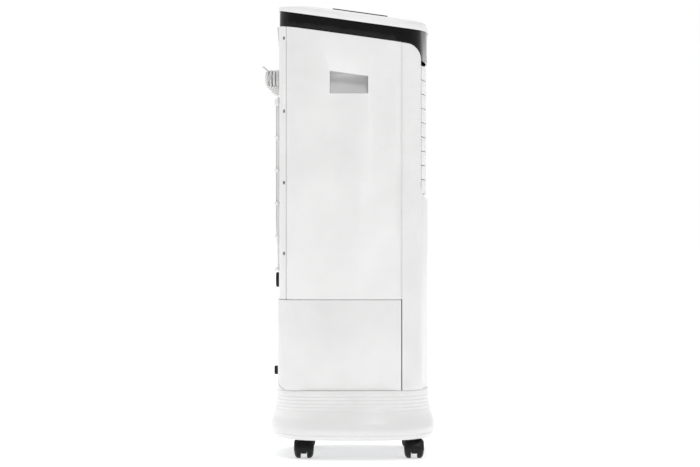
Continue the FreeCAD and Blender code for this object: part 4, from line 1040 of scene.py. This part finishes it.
def build_tie():
    """A flat twist tie: a strap pulled round the hank and its two ends twisted together."""
    high = box_mm("cord_tie")[1]
    mesh = bmesh.new()
    sideways = Vector((1, 0, 0))
    middle_y, half_deep, half_tall = 144.2, 12.0, 13.0
    rings = []
    for step in range(64):
        out_y, out_z = squarish(2 * math.pi * step / 64, 0.5, half_deep, half_tall)
        outward = Vector((0, out_y / half_deep ** 2, out_z / half_tall ** 2)).normalized()
        centre = Vector((TIE_X, middle_y + out_y, HANK_Z + out_z))
        rings.append(ribbon_ring(centre, sideways, outward, 1.5, 0.45))
    add_loft(mesh, [*rings, rings[0]], caps=False)
    start = Vector((TIE_X, 151.2, HANK_Z + half_tall + 0.4))
    reach = Vector((0, high.y - 1.6 - start.y, high.z - 1.2 - start.z))
    along = reach.normalized()
    upright = sideways.cross(along)
    twisted = 0.72  # the share of the ends that is twisted; beyond it they part
    for number, turn in enumerate((0, math.pi)):
        rings = []
        for step in range(41):
            share = step / 40
            angle = turn + 5.2 * math.pi * min(share, twisted)
            spread = 0.55 + 2.6 * max(0.0, share - twisted) ** 1.2
            facing = sideways * math.cos(angle) + upright * math.sin(angle)
            wide = along.cross(facing)
            centre = start + reach * share * (1.0 - 0.08 * number) + facing * spread
            rings.append(ribbon_ring(centre, wide, facing, 1.35, 0.42))
        add_loft(mesh, rings)
    tie = finish_mesh(mesh, "twist_tie", "casing", "tie_white", sharp=50)
    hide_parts("cord_tie")
    return tie


def oval(x, y, z, half_y, half_z, power, around=48):
    """A squarish oval across X."""
    ring = []
    for step in range(around):
        out_y, out_z = squarish(2 * math.pi * step / around, 2 / power, half_y, half_z)
        ring.append((x, y + out_y, z + out_z))
    return ring


def build_plug():
    """The moulded two-pin plug with its grip ridges, and its round metal pins."""
    low, high = box_mm("mains_plug")
    x, y, z = low.x, (low.y + high.y) / 2, (low.z + high.z) / 2
    stations = [(0.0, 3.2, 3.2, 2), (0.3, 4.0, 4.0, 2)]
    for rib in range(3):
        for out, half in ((0.6, 4.6), (1.7, 4.7), (2.0, 3.9), (2.5, 3.9)):
            stations.append((out + 2.2 * rib, half, half, 2))
    stations += [(7.4, 5.0, 6.4, 2.1), (9.5, 6.0, 9.2, 2.4), (12.0, 6.3, 11.8, 2.7)]
    for rib in range(4):
        for out, wide, tall in ((13.2, 6.8, 13.0), (14.4, 6.8, 13.0), (14.8, 6.3, 12.9),
                                (15.5, 6.3, 12.9)):
            stations.append((out + 2.6 * rib, wide, tall + 0.3 * rib, 3.0))
    stations += [(25.0, 6.8, 14.2, 3.4), (28.8, 6.8, 14.2, 3.6), (29.6, 6.4, 13.8, 3.6),
                 (30.0, 5.7, 13.1, 3.6)]
    mesh = bmesh.new()
    add_loft(mesh, [oval(x + out, y, z, wide, tall, power) for out, wide, tall, power in stations])
    body = finish_mesh(mesh, "plug_body", "casing", "plug_white", sharp=45)
    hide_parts("mains_plug")
    mesh = bmesh.new()
    for side in (-1, 1):
        profile = [(0.0, x + 29), (1.9, x + 29), (1.9, x + 47.4), (1.5, x + 48.5), (0.7, x + 49),
                   (0.0, x + 49)]
        add_lathe(mesh, profile, about_x(y, z + 0.25 + side * 9.3), 28)
    pins = finish_mesh(mesh, "plug_pins", "casing", "stem_steel", sharp=50)
    return body, pins


def build_relief():
    """The cord's strain relief: a tapering sleeve cut by rings so that it bends."""
    low, high = box_mm("strain_relief")
    y, z = (low.y + high.y) / 2, (low.z + high.z) / 2
    profile = [(2.2, low.x), (3.0, low.x), (3.3, low.x + 0.5)]
    for rib in range(5):
        x = low.x + 1.8 + 3.0 * rib
        out = 3.3 + 2.3 * (x - low.x) / (high.x - low.x)
        profile += [(out, x - 0.1), (out - 0.9, x + 0.1), (out - 0.9, x + 1.1), (out, x + 1.3)]
    profile += [(5.5, high.x - 2.6), (5.6, high.x - 2.2), (5.6, high.x), (2.2, high.x)]
    mesh = bmesh.new()
    add_lathe(mesh, profile, about_x(y, z), 40)
    relief = finish_mesh(mesh, "relief_sleeve", "casing", "plug_white", sharp=35)
    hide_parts("strain_relief")
    return relief


def panel_surface(x, y):
    """Height of the touch plate's crowned, sloping face."""
    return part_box("control_panel")[1].z / MM + SLOPE * (y - 36.0) - x * x / CROWN


def add_mark(mesh, outline_pairs, x, y, rise=0.12):
    """A thin printed-looking inlay lying on the touch plate, from (u, v) outlines."""
    for outer, inner in outline_pairs:
        rings = []
        for outline, lift in ((outer, -0.2), (outer, rise), (inner, rise), (inner, -0.2)):
            rings.append([(x + u, y + v, panel_surface(x + u, y + v) + lift) for u, v in outline])
        add_loft(mesh, rings, caps=False)


def build_touch_marks():
    """Six plain touch rings, with a cross in the first and one to five bars in the others."""
    mesh = bmesh.new()
    for number in range(6):
        x, y = -62.5 + 25 * number, -38.0
        add_mark(mesh, [(circle_points(6.2), circle_points(5.6))], x, y)
        if number == 0:
            bars = [(0, 0.0, 2.8, 0.4), (90, 0.0, 2.8, 0.4)]
        else:
            bars = [(0, 1.5 * (row - (number - 1) / 2), 2.6, 0.35) for row in range(number)]
        for turn, shift, half_long, half_wide in bars:
            outline = stadium(-half_long, half_long, half_wide, steps=5)
            if turn:
                outline = [(-v, u) for u, v in outline]
            shrunk = [(u * 0.02, v * 0.02 + shift) for u, v in outline]
            add_mark(mesh, [([(u, v + shift) for u, v in outline], shrunk)], x, y)
    finish_mesh(mesh, "touch_marks", "casing", "grille_white", sharp=50)


def build_display_window():
    """The touch plate's dark display window, a thin inlay with rounded corners."""
    mesh = bmesh.new()
    middle_y = 2
    rings = []
    for factor, rise in ((1.0, -0.2), (1.0, 0.05), (0.985, 0.16), (0.6, 0.16), (0.02, 0.16)):
        ring = []
        for u, v in bar_outline(30, -12, 12, 4, steps=8):
            x, y = u * factor, middle_y + v * factor
            ring.append((x, y, panel_surface(x, y) + rise))
        rings.append(ring)
    add_loft(mesh, rings)
    finish_mesh(mesh, "display_window", "casing", "band_black", sharp=50)


# ---- stage

def build_stage():
    """A pale floor, soft studio light and the camera square to the left side."""
    floor_mesh = bmesh.new()
    half = 40.0  # metres
    floor_mesh.faces.new([floor_mesh.verts.new(corner) for corner in (
        (-half, -half, 0), (half, -half, 0), (half, half, 0), (-half, half, 0))])
    data = bpy.data.meshes.new("floor")
    floor_mesh.to_mesh(data)
    floor_mesh.free()
    floor = bpy.data.objects.new("floor", data)
    bpy.context.scene.collection.objects.link(floor)
    material, tree, shader = new_look("look_floor")
    speckle = add_texture(tree, "Noise", 3, Detail=3.0)
    tint(tree, shader, speckle, (0.84, 0.84, 0.84), (0.88, 0.88, 0.88))
    shader.inputs["Roughness"].default_value = 0.8
    shader.inputs["Specular IOR Level"].default_value = 0.0
    shader.inputs["Emission Color"].default_value = (1, 1, 1, 1)
    shader.inputs["Emission Strength"].default_value = 0.5
    floor.data.materials.append(material)
    build_world()
    add_softbox("key", (-2.6, -0.9, 2.7), (0, 0, 0.45), 0.9, 26)
    add_softbox("top", (0.2, 0.3, 3.0), (0, 0, 0.4), 2.0, 6)
    data = bpy.data.cameras.new("camera")
    data.lens = 112.6
    data.sensor_width = 36.0
    camera = bpy.data.objects.new("camera", data)
    camera.location = (-4.0, 0.005, 0.400)
    camera.rotation_euler = (math.radians(90), 0, math.radians(-90))
    bpy.context.scene.collection.objects.link(camera)
    bpy.context.scene.camera = camera
    bpy.context.scene.view_settings.view_transform = "Standard"


def build_world():
    """White beyond the cooler, dimmer on the camera's side and towards the front."""
    world = bpy.data.worlds.new("studio")
    world.use_nodes = True
    tree = world.node_tree
    coordinates = tree.nodes.new("ShaderNodeTexCoord")
    split = tree.nodes.new("ShaderNodeSeparateXYZ")
    tree.links.new(coordinates.outputs["Generated"], split.inputs["Vector"])
    across = add_range(tree, split.outputs["X"], 0.36, 1.0, start=-0.8, end=0.0)
    along = add_range(tree, split.outputs["Y"], 0.5, 1.0, start=-1.0, end=-0.3)
    both = tree.nodes.new("ShaderNodeMath")
    both.operation = "MULTIPLY"
    tree.links.new(across, both.inputs[0])
    tree.links.new(along, both.inputs[1])
    tree.links.new(both.outputs["Value"], tree.nodes["Background"].inputs["Strength"])
    tree.nodes["Background"].inputs["Color"].default_value = (1, 1, 1, 1)
    bpy.context.scene.world = world


def add_softbox(name, position, target, size, power):
    """A square soft light aimed at a target, in metres and watts."""
    data = bpy.data.lights.new(name, "AREA")
    data.shape = "RECTANGLE"
    data.size = size
    data.size_y = size
    data.energy = power
    light = bpy.data.objects.new(name, data)
    light.location = position
    aim = Vector(target) - Vector(position)
    light.rotation_euler = aim.to_track_quat("-Z", "Y").to_euler()
    bpy.context.scene.collection.objects.link(light)


# ---- everything

build_stage()
dress_frame()
cord = build_cord()
build_skirt()
for corner in ("front_left", "front_right", "rear_left", "rear_right"):
    build_caster(corner)
build_latch()
build_drain_cap()
build_pump()
build_motor()
build_pad()
build_filter()
build_screws()
build_touch_marks()
build_display_window()
build_lid()
build_joint_beads()
build_recess_liners()
build_ribs()
build_slats()
place(LEAD_ROUTE[0])
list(build_plug())
build_tie()
build_relief()
# Nodes that a piece above stands for, so that they need no rounding, by how their names start.
REBUILT = ("cord_", "mains_plug", "strain_relief", "caster_wheels", "caster_hood", "base_skirt",
           "tank_latch", "drain_plug", "cooling_pad", "dust_filter", "casing_screws", "top_lid",
           "intake_grille", "water_pump", "fan_motor")
# Edge radii in millimetres where they differ from the usual half.
ROUNDING = {"front_shell": 1.0, "trim_band": 0.8, "water_tank": 0.8}
for name in nodes:
    if not name.startswith(REBUILT):
        soften(name, ROUNDING.get(name, 0.5))

bpy.context.view_layer.update()
